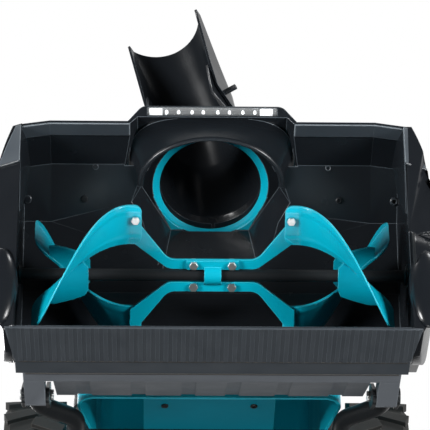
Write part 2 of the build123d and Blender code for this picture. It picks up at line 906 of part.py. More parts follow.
def make_rim():
    seat = wheel_radius - lug_depth - tyre_wall - seat_gap
    barrel = seat - tyre_wall / 3
    hub = axle_shoulder * 1.7
    web_x = wheel_outer - tyre_wall
    web = tyre_wall / 4
    recess = tyre_wall / 2
    rim = x_cylinder(seat, wheel_inner, wheel_outer, 0, 0)
    rim -= x_cylinder(barrel, wheel_inner, wheel_outer, 0, 0)
    rim += x_cylinder(seat, web_x, web_x + web, 0, 0)
    rim += x_cylinder(hub, wheel_inner, wheel_outer - recess, 0, 0)
    rim -= x_cylinder(axle_radius + running_gap, wheel_inner, wheel_outer, 0, 0)
    window_radius = (barrel - hub) * 0.36
    window_y = (barrel + hub) / 2
    for i in range(5):
        hole = Rot(i * 72, 0, 0) * x_cylinder(window_radius, web_x, web_x + web, window_y, 0)
        rim -= hole
    return wheel_place(rim)


def make_axle():
    recess = tyre_wall / 2
    cap_x = wheel_outer - recess + part_gap
    axle = x_cylinder(axle_radius, -cap_x - axle_cap, cap_x + axle_cap, 0, 0)
    shoulder_end = wheel_inner - part_gap
    axle += x_cylinder(axle_shoulder, -shoulder_end, shoulder_end, 0, 0)
    cap = x_cylinder(axle_shoulder * 1.3, cap_x, cap_x + axle_cap, 0, 0)
    cap = fillet(cap.edges().filter_by(GeomType.CIRCLE).sort_by(Axis.X)[-1], axle_cap / 2)
    cap -= x_cylinder(axle_radius, cap_x, cap_x + axle_cap, 0, 0)
    return wheel_place(axle), [wheel_place(part) for part in both_sides(cap)]


def frame_path():
    front = Vector(frame_front_x, frame_front_y, frame_front_z)
    points = [
        front - Vector(0, frame_nose, 0),
        front + Vector(0, frame_straight, 0),
        Vector(frame_x, frame_bend_y, frame_low_z),
        Vector(frame_x, frame_rise_y, frame_low_z),
        frame_end,
    ]
    return FilletPolyline(*points, radius=frame_bend_radius)


def make_frame_tube():
    frame_tube = sweep_round(frame_path(), frame_tube_radius, frame_tube_radius - frame_tube_wall)
    pin = x_cylinder(frame_pin_radius + seat_gap, lug_inner, lug_outer, frame_front_y, frame_front_z)
    return frame_tube - pin


def make_frame_brackets():
    outline = hull_face([
        (lug_back - lug_height / 2, strip_lift + lug_height / 2, lug_height * 0.4),
        (frame_front_y, frame_front_z, frame_tube_radius + bracket_thickness),
    ])
    cheeks = []
    for low in (lug_inner - bracket_thickness, lug_outer):
        cheek = along_x(outline, low, low + bracket_thickness)
        cheek -= x_cylinder(frame_pin_radius + seat_gap, low, low + bracket_thickness,
                            frame_front_y, frame_front_z)
        cheeks += both_sides(cheek)
    return cheeks


def make_frame_pins():
    low = lug_inner - bracket_thickness
    high = lug_outer + bracket_thickness
    pin = x_cylinder(frame_pin_radius, low, high, frame_front_y, frame_front_z)
    for x in (low - bolt_head, high):
        pin += x_cylinder(frame_pin_radius * 1.8, x, x + bolt_head, frame_front_y, frame_front_z)
    return both_sides(pin)


def make_axle_brackets():
    along = frame_up.normalized()
    rise = (wheel_y - frame_rise_y) / along.Y
    foot = Vector(frame_x, frame_rise_y, frame_low_z) + along * rise
    reach = axle_shoulder * 2
    ends = [foot + along * reach, foot - along * reach]
    outline = hull_face(
        [(wheel_y, wheel_radius, axle_shoulder * 1.6)] + [(p.Y, p.Z, frame_tube_radius / 2) for p in ends]
    )
    plate = along_x(outline, frame_x - bracket_thickness, frame_x + bracket_thickness)
    clear = Cylinder(frame_tube_radius + seat_gap, 8 * reach)
    plate -= Plane(origin=foot, z_dir=along).location * clear
    plate -= x_cylinder(axle_shoulder + seat_gap, 0, 2 * frame_x, wheel_y, wheel_radius)
    return both_sides(plate)


def make_cross_members():
    bars = []
    for y in (cross_front_y, cross_rear_y):
        bar = Pos(0, y, cross_z + cross_thickness / 2) * Box(
            2 * (frame_x + frame_tube_radius), cross_depth, cross_thickness)
        bars.append(bar)
    return bars


# Cowl and batteries
def cowl_face(drop):
    return polygon([
        (cowl_front_y, cowl_bottom_z - drop),
        (cowl_front_y, cowl_shoulder_z),
        (cowl_top_front_y, cowl_top_z),
        (tub_back_y + cowl_tail, cowl_top_z),
        (cowl_back_y, cowl_back_z),
        (cowl_back_y, cowl_step_z - drop),
        (cowl_step_y + cowl_step_run, cowl_step_z - drop),
        (cowl_step_y, cowl_bottom_z - drop),
    ])


def cowl_plan():
    far = cowl_back_y * 2
    return polygon([
        (-cowl_front_half, cowl_front_y - cowl_wall),
        (cowl_front_half, cowl_front_y - cowl_wall),
        (cowl_half, cowl_waist_y),
        (cowl_half, far),
        (-cowl_half, far),
        (-cowl_half, cowl_waist_y),
    ])


def cowl_block(shrink):
    side = cowl_face(3 * shrink)
    plan = cowl_plan()
    if shrink:
        side = offset(side, -shrink, kind=Kind.INTERSECTION)
        plan = offset(plan, -shrink, kind=Kind.INTERSECTION)
    block = along_x(side, -cowl_front_half, cowl_front_half)
    block &= extrude(plan, cowl_top_z * 2)
    rims = [e for e in block.edges() if e.center().Z > cowl_step_z and abs(e.center().X) > tub_half]
    return fillet(rims, cowl_round - shrink)


def make_cowl():
    cowl = cowl_block(0) - cowl_block(cowl_wall)
    middle = (tub_front_y + tub_back_y) / 2
    cowl -= Pos(0, middle, cowl_top_z) * Box(
        2 * (tub_half + seat_gap), tub_back_y - tub_front_y + 2 * seat_gap, 4 * cowl_wall)
    cowl -= x_cylinder(motor_nose + part_gap, 0, 2 * cowl_half, motor_y, motor_z)
    slot = SlotOverall(vent_length, vent_width, rotation=90)
    for i in range(vent_count):
        y = cowl_waist_y + vent_pitch * (i + 1.5)
        vent = Pos(y, (cowl_back_z + cowl_shoulder_z) / 2 - vent_length / 2) * slot
        cowl -= along_x(vent, -2 * cowl_half, 2 * cowl_half)
    return cowl


def make_under_panel():
    back = cowl_step_y
    front = cowl_front_y + cowl_wall + part_gap
    panel = Pos(0, (front + back) / 2, cowl_bottom_z + under_thickness / 2) * Box(
        2 * under_half, back - front, under_thickness)
    return panel


def make_tub():
    length = tub_back_y - tub_front_y
    middle = (tub_front_y + tub_back_y) / 2
    top = cowl_top_z
    tub = Pos(0, middle, top - tub_depth / 2) * Box(2 * tub_half, length, tub_depth)
    tub = fillet(tub.edges().filter_by(Axis.Z), tub_wall * 2)
    flange = Box(2 * (tub_half + tub_flange), length + 2 * tub_flange, tub_flange_height)
    flange = fillet(flange.edges().filter_by(Axis.Z), tub_wall * 3)
    tub += Pos(0, middle, top + tub_flange_height / 2) * flange
    room = Box(2 * (tub_half - tub_wall), length - 2 * tub_wall, 2 * tub_depth)
    tub -= Pos(0, middle, top + tub_wall) * fillet(room.edges().filter_by(Axis.Z), tub_wall)
    ear = along_x(polygon([
        (tub_back_y, top),
        (lid_hinge_y + 2 * lid_pin_radius, top),
        (lid_hinge_y + 2 * lid_pin_radius, lid_hinge_z + 2 * lid_pin_radius),
        (lid_hinge_y - 2 * lid_pin_radius, lid_hinge_z + 2 * lid_pin_radius),
        (lid_hinge_y - 2 * lid_pin_radius, top + tub_flange_height),
        (tub_back_y, top + tub_flange_height),
    ]), lid_barrel_half() + part_gap, lid_ear_end())
    ear -= x_cylinder(lid_pin_radius + seat_gap, 0, 2 * tub_half, lid_hinge_y, lid_hinge_z)
    return tub + both_sides(ear)


def lid_barrel_half():
    return tub_half / 2


def lid_ear_end():
    return lid_barrel_half() + 4 * tub_wall


def make_lid_pin():
    reach = lid_ear_end()
    return x_cylinder(lid_pin_radius, -reach, reach, lid_hinge_y, lid_hinge_z)


def make_lid():
    half = tub_half + tub_flange
    front = tub_front_y - tub_flange
    back = lid_hinge_y - 2 * lid_pin_radius - part_gap
    low = cowl_top_z + tub_flange_height + part_gap
    middle = (front + back) / 2
    lid = Pos(0, middle, low + lid_height / 2) * Box(2 * half, back - front, lid_height)
    lid = fillet(lid.edges().filter_by(Axis.Z), lid_height / 2)
    lid = fillet(lid.edges().group_by(Axis.Z)[-1], lid_height / 3)
    room = Box(2 * (half - 2 * lid_wall), back - front - 4 * lid_wall, 2 * (lid_height - lid_wall))
    lid -= Pos(0, middle, low) * room
    barrel = lid_barrel_half()
    arm = along_x(polygon([
        (back - lid_wall, low),
        (lid_hinge_y, low),
        (lid_hinge_y, lid_hinge_z + 2 * lid_pin_radius),
        (back - lid_wall, lid_hinge_z + 2 * lid_pin_radius),
    ]), -barrel, barrel)
    lid += arm + x_cylinder(2 * lid_pin_radius, -barrel, barrel, lid_hinge_y, lid_hinge_z)
    ear_room = 3 * lid_pin_radius + part_gap
    lid -= both_sides(x_cylinder(ear_room, barrel, lid_ear_end() + part_gap, lid_hinge_y, lid_hinge_z))
    return lid - x_cylinder(lid_pin_radius + running_gap, -half, half, lid_hinge_y, lid_hinge_z)


def make_batteries():
    floor = cowl_top_z - tub_depth + tub_wall
    middle = (tub_front_y + tub_back_y) / 2
    length = tub_back_y - tub_front_y - 2 * (tub_wall + battery_room)
    pack = Box(battery_width, length, battery_height)
    pack = fillet(pack.edges().filter_by(Axis.Z), battery_width / 12)
    pack = fillet(pack.edges().group_by(Axis.Z)[-1], battery_width / 14)
    x = tub_half / 2 - tub_wall
    return both_sides(Pos(x, middle, floor + battery_height / 2) * pack)


def make_control_module():
    length = (tub_back_y - tub_front_y) / 2
    height = motor_radius
    box = Box(under_half, length, height)
    box = fillet(box.edges().filter_by(Axis.Z), cowl_wall)
    base = cowl_bottom_z + under_thickness
    return Pos(-under_half / 3, cross_rear_y - length / 2, base + height / 2) * box


# Handle
def make_lower_handle():
    pivot = Vector(frame_x, fold_y, fold_z)
    pole = tube_run(frame_end, pivot - frame_up.normalized() * (fold_boss / 2))
    pole += x_cylinder(fold_boss, frame_x - fold_boss_half, frame_x + fold_boss_half, fold_y, fold_z)
    return pole - x_cylinder(fold_pin_radius + seat_gap, 0, 2 * frame_x, fold_y, fold_z)


def tube_run(start, end):
    ring = Circle(handle_tube_radius) - Circle(handle_tube_radius - handle_tube_wall)
    plane = Plane(origin=start, z_dir=end - start)
    return extrude(plane * ring, (end - start).length)


def make_sleeves():
    along = frame_up.normalized()
    outer = frame_tube_radius + seat_gap + sleeve_wall
    ring = Circle(outer) - Circle(frame_tube_radius + seat_gap)
    plane = Plane(origin=frame_end - along * (sleeve_length / 2), z_dir=along)
    sleeve = extrude(plane * ring, sleeve_length)
    return both_sides(sleeve)


def make_fold_pins():
    low = frame_x - fold_boss_half
    high = handle_half + fold_boss_half + part_gap + knob_height * 0.7
    pin = x_cylinder(fold_pin_radius, low, high, fold_y, fold_z)
    pin += x_cylinder(fold_pin_radius * 1.8, low - bolt_head, low, fold_y, fold_z)
    washer_x = frame_x + fold_boss_half
    pin += x_cylinder(fold_pin_radius * 2.4, washer_x, washer_x + fold_washer - part_gap, fold_y, fold_z)
    return both_sides(pin)


def make_knob():
    low = handle_half + fold_boss_half + part_gap
    face = Circle(knob_radius)
    for i in range(knob_lobes):
        face -= Rot(0, 0, i * 360 / knob_lobes) * (Pos(knob_radius * 1.12, 0) * Circle(knob_radius * 0.3))
    knob = extrude(face, knob_height)
    knob = fillet(knob.edges().group_by(Axis.Z)[-1], knob_height / 9)
    knob -= Pos(0, 0, knob_height * 0.35) * Cylinder(fold_pin_radius + running_gap, knob_height * 0.8)
    return Pos(low, fold_y, fold_z) * Rot(0, 90, 0) * knob


def make_upper_handle():
    points = [
        handle_point(handle_half, fold_boss / 2, 0),
        handle_point(handle_half, handle_length, 0),
        handle_point(-handle_half, handle_length, 0),
        handle_point(-handle_half, fold_boss / 2, 0),
    ]
    path = FilletPolyline(*points, radius=handle_corner)
    bar = sweep_round(path, handle_tube_radius, handle_tube_radius - handle_tube_wall)
    low = handle_half - fold_boss_half
    high = handle_half + fold_boss_half
    boss = x_cylinder(fold_boss, low, high, fold_y, fold_z)
    boss -= x_cylinder(fold_pin_radius + running_gap, low, high, fold_y, fold_z)
    pin_at = handle_point(0, handle_length - bail_drop, 0)
    root = handle_half - handle_tube_radius + handle_tube_wall / 2
    pin = x_cylinder(bail_pin_radius, bail_half() - bail_eye_width, root, pin_at.Y, pin_at.Z)
    pin += x_cylinder(bail_eye, bail_half() + part_gap, root, pin_at.Y, pin_at.Z)
    return bar + both_sides(boss) + both_sides(pin)


def handle_point(x, along, out):
    return handle_plane.from_local_coords(Vector(x, along, out))


def bail_half():
    return handle_half - handle_tube_radius - bail_eye


def make_grips():
    start = switch_half + part_gap
    ring = Circle(handle_tube_radius + grip_wall) - Circle(handle_tube_radius + seat_gap)
    end = handle_point(0, handle_length, 0)
    grip = extrude(ring, grip_length)
    grip = fillet(grip.edges().filter_by(GeomType.CIRCLE).filter_by(
        lambda e: e.radius > handle_tube_radius + grip_wall / 2), grip_wall / 3)
    return both_sides(Pos(start, end.Y, end.Z) * Rot(0, 90, 0) * grip)


def make_switch_box():
    height = switch_low + switch_high
    depth = switch_front + switch_back
    box = Pos(0, (switch_high - switch_low) / 2, (switch_front - switch_back) / 2) * Box(
        2 * switch_half, height, depth)
    box = fillet(box.edges().filter_by(Axis.X), switch_high / 2)
    box = fillet(box.edges().group_by(Axis.X)[0] + box.edges().group_by(Axis.X)[-1], switch_high / 5)
    box -= Rot(0, 90, 0) * Cylinder(handle_tube_radius + seat_gap, 4 * switch_half)
    depth = button_root + button_travel + part_gap
    for x in (-button_x, button_x):
        hole = Rot(90, 0, 0) * Cylinder(button_radius + part_gap, depth)
        box -= Pos(x, switch_high - depth / 2, -button_back) * hole
    return on_plane(handle_plane, Pos(0, handle_length, 0) * box)


def make_button(x):
    length = button_stand + button_root
    cap = Rot(90, 0, 0) * Cylinder(button_radius, length)
    cap = fillet(cap.edges().filter_by(GeomType.CIRCLE).sort_by(Axis.Y)[-1], button_radius / 4)
    place = Pos(x, handle_length + switch_high - button_root + length / 2, -button_back)
    return on_plane(handle_plane, place * cap)


def make_bail():
    half = bail_half() - bail_eye_width / 2
    low = handle_length - bail_drop
    points = [
        handle_point(half, low, 0),
        handle_point(half, handle_length, bail_stand),
        handle_point(-half, handle_length, bail_stand),
        handle_point(-half, low, 0),
    ]
    path = FilletPolyline(*points, radius=bail_corner)
    rod = sweep_round(path, bail_radius)
    eye_at = points[0]
    eye = x_cylinder(bail_eye, half - bail_eye_width / 2, half + bail_eye_width / 2, eye_at.Y, eye_at.Z)
    rod += both_sides(eye)
    bore = x_cylinder(bail_pin_radius + running_gap, -handle_half, handle_half, eye_at.Y, eye_at.Z)
    return rod - bore


nodes["auger_housing"] = make_housing()
nodes["throat_ring"] = make_throat_ring()
nodes["light_lens"], nodes["light_board"] = make_light()
nodes["left_side_cover"] = make_left_cover()
nodes["drive_plate"] = make_drive_plate()
nodes["drive_cover"] = make_drive_cover()
nodes["drive_belt"] = make_belt()
nodes["auger_bearings"] = make_bearings()
nodes["motor_housing"], nodes["motor_stator"], nodes["motor_rotor"] = make_motor()
nodes["motor_pulley"] = pulley(motor_pulley_radius, rotor_shaft_radius, motor_y, motor_z)
nodes["auger_pulley"] = pulley(auger_pulley_radius, shaft_radius, auger_y, auger_z)
flight = make_flight()
nodes["flight_right_front"] = flight
nodes["flight_left_front"] = mirror(flight, about=Plane.YZ)
nodes["flight_right_rear"] = half_turn(flight)
nodes["flight_left_rear"] = mirror(half_turn(flight), about=Plane.YZ)
nodes["paddle_upper"] = make_paddle()
nodes["paddle_lower"] = half_turn(nodes["paddle_upper"])
nodes["auger_hub"] = make_hub()
nodes["auger_bolts"] = make_auger_bolts()
nodes["auger_shaft"] = make_shaft()
nodes["scraper_plate"] = make_scraper()
nodes["clamp_strip"] = make_clamp_strip()
nodes["belly_plate"] = make_belly()
nodes["chute"] = make_chute()
nodes["chute_deflector"] = make_deflector()
nodes["deflector_pins"] = make_deflector_pins()

nodes["tyre_right"] = make_tyre()
nodes["tyre_left"] = mirror(nodes["tyre_right"], about=Plane.YZ)
nodes["rim_right"] = make_rim()
nodes["rim_left"] = mirror(nodes["rim_right"], about=Plane.YZ)
nodes["wheel_axle"], nodes["axle_caps"] = make_axle()
nodes["frame_tube_right"] = make_frame_tube()
nodes["frame_tube_left"] = mirror(nodes["frame_tube_right"], about=Plane.YZ)
nodes["frame_brackets"] = make_frame_brackets()
nodes["frame_pins"] = make_frame_pins()
nodes["axle_brackets"] = make_axle_brackets()
nodes["cross_members"] = make_cross_members()
nodes["rear_cowl"] = make_cowl()
nodes["under_panel"] = make_under_panel()
nodes["battery_tub"] = make_tub()
nodes["battery_packs"] = make_batteries()
nodes["battery_lid"] = make_lid()
nodes["lid_pin"] = make_lid_pin()
nodes["control_module"] = make_control_module()
nodes["lower_handle_right"] = make_lower_handle()
nodes["lower_handle_left"] = mirror(nodes["lower_handle_right"], about=Plane.YZ)
nodes["handle_sleeves"] = make_sleeves()
nodes["fold_pins"] = make_fold_pins()
nodes["fold_knob_right"] = make_knob()
nodes["fold_knob_left"] = mirror(nodes["fold_knob_right"], about=Plane.YZ)
nodes["upper_handle"] = make_upper_handle()
nodes["handle_grips"] = make_grips()
nodes["switch_box"] = make_switch_box()
nodes["lock_off_button"] = make_button(-button_x)
nodes["light_button"] = make_button(button_x)
nodes["bail_lever"] = make_bail()

shapes = {name: Compound(children=part) if isinstance(part, list) else part for name, part in nodes.items()}
boxes = [shape.bounding_box() for shape in shapes.values()]
middle_y = (min(box.min.Y for box in boxes) + max(box.max.Y for box in boxes)) / 2
os.makedirs("parts", exist_ok=True)
for name, shape in shapes.items():
    export_step(Pos(0, -middle_y, 0) * shape, f"parts/{name}.step")
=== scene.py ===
import json
import math
import bpy
from mathutils import Matrix, Quaternion, Vector

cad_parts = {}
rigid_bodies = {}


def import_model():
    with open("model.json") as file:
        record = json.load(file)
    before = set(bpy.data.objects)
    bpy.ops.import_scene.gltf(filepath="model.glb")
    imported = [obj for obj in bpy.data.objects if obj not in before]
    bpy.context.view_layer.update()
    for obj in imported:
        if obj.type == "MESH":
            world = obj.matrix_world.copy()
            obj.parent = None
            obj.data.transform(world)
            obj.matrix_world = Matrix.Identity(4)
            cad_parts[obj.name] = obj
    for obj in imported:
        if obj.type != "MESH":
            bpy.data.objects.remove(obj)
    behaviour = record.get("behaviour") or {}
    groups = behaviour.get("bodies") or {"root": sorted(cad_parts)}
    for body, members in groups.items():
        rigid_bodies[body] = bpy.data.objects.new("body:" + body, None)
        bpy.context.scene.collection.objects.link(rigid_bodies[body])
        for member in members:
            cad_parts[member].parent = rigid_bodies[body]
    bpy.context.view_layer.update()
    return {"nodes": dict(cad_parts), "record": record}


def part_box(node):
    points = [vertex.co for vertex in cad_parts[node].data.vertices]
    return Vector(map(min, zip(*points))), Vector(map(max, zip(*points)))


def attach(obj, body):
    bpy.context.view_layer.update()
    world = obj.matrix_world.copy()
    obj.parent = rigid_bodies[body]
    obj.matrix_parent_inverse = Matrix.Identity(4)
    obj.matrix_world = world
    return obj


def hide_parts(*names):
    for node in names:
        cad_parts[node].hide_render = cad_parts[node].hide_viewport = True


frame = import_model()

mm = 0.001
print("frame loaded:", len(frame["nodes"]), "nodes")


# Camera, from below and in front, with a long lens
cameraSet = {
    "aim": (4.7 * mm, -467.8 * mm, 239.7 * mm),
    "distance": 3641 * mm,
    "below": 33.8,        # degrees under the horizon
    "aside": -1.44,       # degrees to the left
    "roll": -0.45,
    "lens": 226.9,
    "far": 40,            # metres seen
}


def makeCamera():
    bpy.ops.object.select_all(action="DESELECT")
    bpy.ops.object.camera_add()
    camera = bpy.context.object
    camera.name = "studioCamera"
    low = math.radians(cameraSet["below"])
    turn = math.radians(cameraSet["aside"])
    flat = math.cos(low)
    back = Vector((math.sin(turn) * flat, -math.cos(turn) * flat, -math.sin(low)))
    camera.location = Vector(cameraSet["aim"]) + back * cameraSet["distance"]
    roll = Quaternion((0, 0, 1), math.radians(cameraSet["roll"]))
    camera.rotation_euler = ((-back).to_track_quat("-Z", "Y") @ roll).to_euler()
    camera.data.lens = cameraSet["lens"]
    camera.data.clip_end = cameraSet["far"]
    bpy.context.scene.camera = camera


# Studio: pale floor, bright surround, soft boxes
studioSet = {
    "floorSize": 14.0,
    "floorColour": "#F2F2F0",
    "floorRough": 0.9,
    "surround": (0.05, 0.75),  # brightness of the surround, in front and behind
    "fadeBack": (-0.2, 0.5),   # where the front turns into the back
    "fadeUp": (-0.3, 0.0),     # and the ground into the wall
    "boxes": (                 # name, place, aim, width, height, watts, seen in gloss
        ("keyBox", (-2.4, -2.2, -0.4), (0, -0.5, 0.2), 0.9, 0.9, 125, True),
        ("fillBox", (2.4, -2.2, -0.4), (0, -0.5, 0.2), 0.9, 0.9, 115, True),
        ("lowBox", (0.1, -0.5, -2.6), (0, -0.3, 0.1), 1.4, 1.0, 30, True),
        ("highLeft", (-1.2, -1.0, 2.6), (-0.2, -0.5, 0.2), 0.6, 0.4, 14, True),
        ("highRight", (1.2, -1.0, 2.6), (0.2, -0.5, 0.2), 0.6, 0.4, 14, True),
        ("topBox", (0.2, 0.2, 3.0), (0, 0, 0.4), 2.4, 2.4, 60, False),
        ("backBox", (-1.2, 3.2, 1.6), (0, 0.2, 0.4), 1.6, 1.4, 60, True),
    ),
}


def hexColour(code):
    values = [int(code[i:i + 2], 16) / 255 for i in (1, 3, 5)]
    linear = [v / 12.92 if v <= 0.04045 else ((v + 0.055) / 1.055) ** 2.4 for v in values]
    return (*linear, 1.0)


def fillInputs(tree, node, inputs):  # links sockets, sets anything else
    for name, value in inputs.items():
        if isinstance(value, bpy.types.NodeSocket):
            tree.links.new(value, node.inputs[name])
        else:
            node.inputs[name].default_value = value


def addNode(tree, kind, inputs=None, **settings):
    node = tree.nodes.new(kind)
    for name, value in settings.items():
        setattr(node, name, value)
    fillInputs(tree, node, inputs or {})
    return node


def perMetre(millimetres):  # pattern scale from the size of one feature
    return 1000 / millimetres


def addNoise(tree, place, size, detail):
    inputs = {"Vector": place, "Scale": perMetre(size), "Detail": detail}
    return addNode(tree, "ShaderNodeTexNoise", inputs).outputs["Fac"]


def addMix(tree, factor, first, second):
    inputs = {"Factor": factor, "A": first, "B": second}
    return addNode(tree, "ShaderNodeMix", inputs, data_type="RGBA").outputs["Result"]


def addRange(tree, value, start, end, **settings):
    inputs = {"Value": value, "From Min": start[0], "From Max": start[1],
              "To Min": end[0], "To Max": end[1]}
    return addNode(tree, "ShaderNodeMapRange", inputs, **settings).outputs[0]


def addMath(tree, operation, *values):
    return addNode(tree, "ShaderNodeMath", dict(enumerate(values)), operation=operation).outputs[0]


def addVector(tree, operation, *values):
    return addNode(tree, "ShaderNodeVectorMath", dict(enumerate(values)), operation=operation)


def addBump(tree, height, normal, strength, depth):
    inputs = {"Height": height, "Normal": normal, "Strength": strength, "Distance": depth * mm}
    return addNode(tree, "ShaderNodeBump", inputs).outputs[0]


def makeFloor():
    bpy.ops.object.select_all(action="DESELECT")
    bpy.ops.mesh.primitive_plane_add(size=studioSet["floorSize"])
    floor = bpy.context.object
    floor.name = "studioFloor"
    floor.visible_shadow = False  # light from below reaches the object
    floor.visible_diffuse = False
    floor.visible_glossy = False
    material = bpy.data.materials.new("paintedFloor")  # matt pale paint, clear from underneath
    material.use_nodes = True
    tree = material.node_tree
    paint = tree.nodes["Principled BSDF"]
    paint.inputs["Base Color"].default_value = hexColour(studioSet["floorColour"])
    paint.inputs["Roughness"].default_value = studioSet["floorRough"]
    clear = addNode(tree, "ShaderNodeBsdfTransparent")
    side = addNode(tree, "ShaderNodeNewGeometry")
    layers = {0: side.outputs["Backfacing"], 1: paint.outputs[0], 2: clear.outputs[0]}
    mix = addNode(tree, "ShaderNodeMixShader", layers)
    tree.links.new(mix.outputs[0], tree.nodes["Material Output"].inputs["Surface"])
    floor.data.materials.append(material)


def makeStudio():
    world = bpy.data.worlds.new("studioSurround")
    world.use_nodes = True
    bpy.context.scene.world = world
    tree = world.node_tree
    seen = addNode(tree, "ShaderNodeLightPath").outputs["Is Camera Ray"]
    place = addNode(tree, "ShaderNodeTexCoord").outputs["Generated"]
    split = addNode(tree, "ShaderNodeSeparateXYZ", {"Vector": place})
    unit = (0.0, 1.0)
    rear = addRange(tree, split.outputs["Y"], studioSet["fadeBack"], unit)
    high = addRange(tree, split.outputs["Z"], studioSet["fadeUp"], unit)
    wall = addMath(tree, "MULTIPLY", rear, high)
    level = addRange(tree, wall, unit, studioSet["surround"])
    strength = addRange(tree, seen, unit, (level, 1.0))
    background = tree.nodes["Background"]
    background.inputs["Color"].default_value = (1, 1, 1, 1)
    tree.links.new(strength, background.inputs["Strength"])
    for name, place, aim, width, height, watts, inGloss in studioSet["boxes"]:
        bpy.ops.object.select_all(action="DESELECT")
        bpy.ops.object.light_add(type="AREA", location=place)
        light = bpy.context.object
        light.name = name
        light.data.shape = "RECTANGLE"
        light.data.size = width
        light.data.size_y = height
        light.data.energy = watts
        light.visible_glossy = inGloss
        light.rotation_euler = (Vector(aim) - Vector(place)).to_track_quat("-Z", "Y").to_euler()
    bpy.context.scene.view_settings.view_transform = "Standard"


makeCamera()
makeFloor()
makeStudio()
print("studio ready")


# Finishes. Each recipe: base and varied colour, an edge colour painted on as a highlight,
# roughness low and high; grain, edge and blotch in millimetres
# The first entry sets how strongly the painted edge highlight shows
mouldSet = {"edgeHighlight": 0.55, "blotchDetail": 4.0, "grainDetail": 3.0, "spread": (0.3, 0.7),
            "depth": 0.5, "gloss": 0.5}
edgeSet = {"samples": 6, "start": 0.9998, "full": 0.985}  # cosines of the rounded normal's turn
finishSet = {
    # black ABS, spark-eroded mould: satin, even, with a painted highlight paler along edges and
    # creases
    "mouldedAbs": {
        "colour": "#15181C", "vary": "#1B1F23", "edge": "#6A737A", "grain": 0.9, "relief": 0.05,
        "rough": (0.22, 0.28), "edgeRadius": 1.3, "edgeFull": 0.99, "blotch": 60, "gloss": 0.35},
    # the same ABS painted paler as lit, for the rim band and corner panels: matt
    "paintedLitAbs": {
        "colour": "#363D44", "vary": "#3D454C", "edge": "#A2ABB2", "grain": 0.7, "relief": 0.12,
        "rough": (0.5, 0.6), "edgeRadius": 1.5, "blotch": 50},
    # black ABS of the side covers: polished, with well rounded edges
    "polishedAbs": {
        "colour": "#15181C", "vary": "#1A1D21", "edge": "#1E2226", "grain": 0.9, "relief": 0.03,
        "rough": (0.2, 0.26), "edgeRadius": 3.0, "blotch": 70, "gloss": 0.35},
    # black polypropylene, polished mould: glossy with soft flow marks
    "polishedPolypropylene": {
        "colour": "#15181B", "vary": "#1A1D21", "edge": "#4A525A", "grain": 14, "relief": 0.012,
        "rough": (0.16, 0.26), "edgeRadius": 0.8, "blotch": 80, "gloss": 0.2},
    # grey nylon, with a painted highlight paler along its edges
    "greyNylon": {
        "colour": "#30363C", "vary": "#383E44", "edge": "#4C545B", "grain": 1.2, "relief": 0.10,
        "rough": (0.46, 0.62), "edgeRadius": 0.9, "blotch": 35},
    # grey polyethylene, coarse mould grain
    "grainedPolyethylene": {
        "colour": "#565B61", "vary": "#5F646A", "edge": "#70767C", "grain": 1.0, "relief": 0.14,
        "rough": (0.5, 0.64), "edgeRadius": 1.6, "blotch": 40},
    # teal ABS, semi-gloss
    "tealAbs": {
        "colour": "#00A3BA", "vary": "#0099B0", "edge": "#37C3D4", "grain": 1.0, "relief": 0.04,
        "rough": (0.30, 0.40), "edgeRadius": 1.2, "blotch": 70},
    # teal plastic of the under panel: the ABS's teal painted darker as shade, where it faces down,
    # and duller
    "paintedShadeTeal": {
        "colour": "#007488", "vary": "#006B7E", "edge": "#1F9AAC", "grain": 1.2, "relief": 0.06,
        "rough": (0.42, 0.52), "edgeRadius": 1.2, "blotch": 60, "gloss": 0.25},
    # black glass-filled nylon of rims, knobs and covers
    "filledNylon": {
        "colour": "#1E2124", "vary": "#25292D", "edge": "#4B5157", "grain": 0.8, "relief": 0.12,
        "rough": (0.44, 0.58), "edgeRadius": 0.9, "blotch": 30},
    # satin black powder coat on steel tube
    "blackPowderCoat": {
        "colour": "#16181A", "vary": "#1D2022", "edge": "#3E4347", "grain": 2.2, "relief": 0.05,
        "rough": (0.32, 0.44), "edgeRadius": 0.6, "blotch": 45, "gloss": 0.25},
    # matt tread rubber, a little dusty, with a painted highlight paler along its edges
    "treadRubber": {
        "colour": "#1C1C1C", "vary": "#2A2927", "edge": "#4A4845", "grain": 1.4, "relief": 0.18,
        "rough": (0.66, 0.82), "edgeRadius": 1.2, "blotch": 22},
    # soft grip rubber
    "gripRubber": {
        "colour": "#191A1B", "vary": "#202122", "edge": "#343638", "grain": 0.9, "relief": 0.15,
        "rough": (0.6, 0.72), "edgeRadius": 0.7, "blotch": 30},
    # dark solder mask of the lamp board
    "solderMask": {
        "colour": "#0E1214", "vary": "#14181B", "edge": "#3A4146", "grain": 2.0, "relief": 0.02,
        "rough": (0.35, 0.45), "edgeRadius": 0.3, "blotch": 25},
    # red and grey polished ABS of the buttons
    "redAbs": {
        "colour": "#B3201C", "vary": "#A51B18", "edge": "#DD5A50", "grain": 1.0, "relief": 0.03,
        "rough": (0.24, 0.34), "edgeRadius": 0.6, "blotch": 20},
    "greyAbs": {
        "colour": "#6E7478", "vary": "#666C70", "edge": "#A2A8AC", "grain": 1.0, "relief": 0.03,
        "rough": (0.28, 0.38), "edgeRadius": 0.6, "blotch": 20},
}
finishes = {}


def startMaterial(name):
    material = bpy.data.materials.new(name)
    material.use_nodes = True
    tree = material.node_tree
    place = addNode(tree, "ShaderNodeTexCoord").outputs["Object"]
    finishes[name] = material
    return tree, tree.nodes["Principled BSDF"], place


# Rounded normal, and a mask that is bright where it leaves the flat one
def edgeMask(tree, radius, full=edgeSet["full"]):
    inputs = {"Radius": radius * mm}
    rounded = addNode(tree, "ShaderNodeBevel", inputs, samples=edgeSet["samples"]).outputs[0]
    flat = addNode(tree, "ShaderNodeNewGeometry").outputs["Normal"]
    turned = addVector(tree, "DOT_PRODUCT", rounded, flat).outputs["Value"]
    return rounded, addRange(tree, turned, (edgeSet["start"], full), (0.0, 1.0))
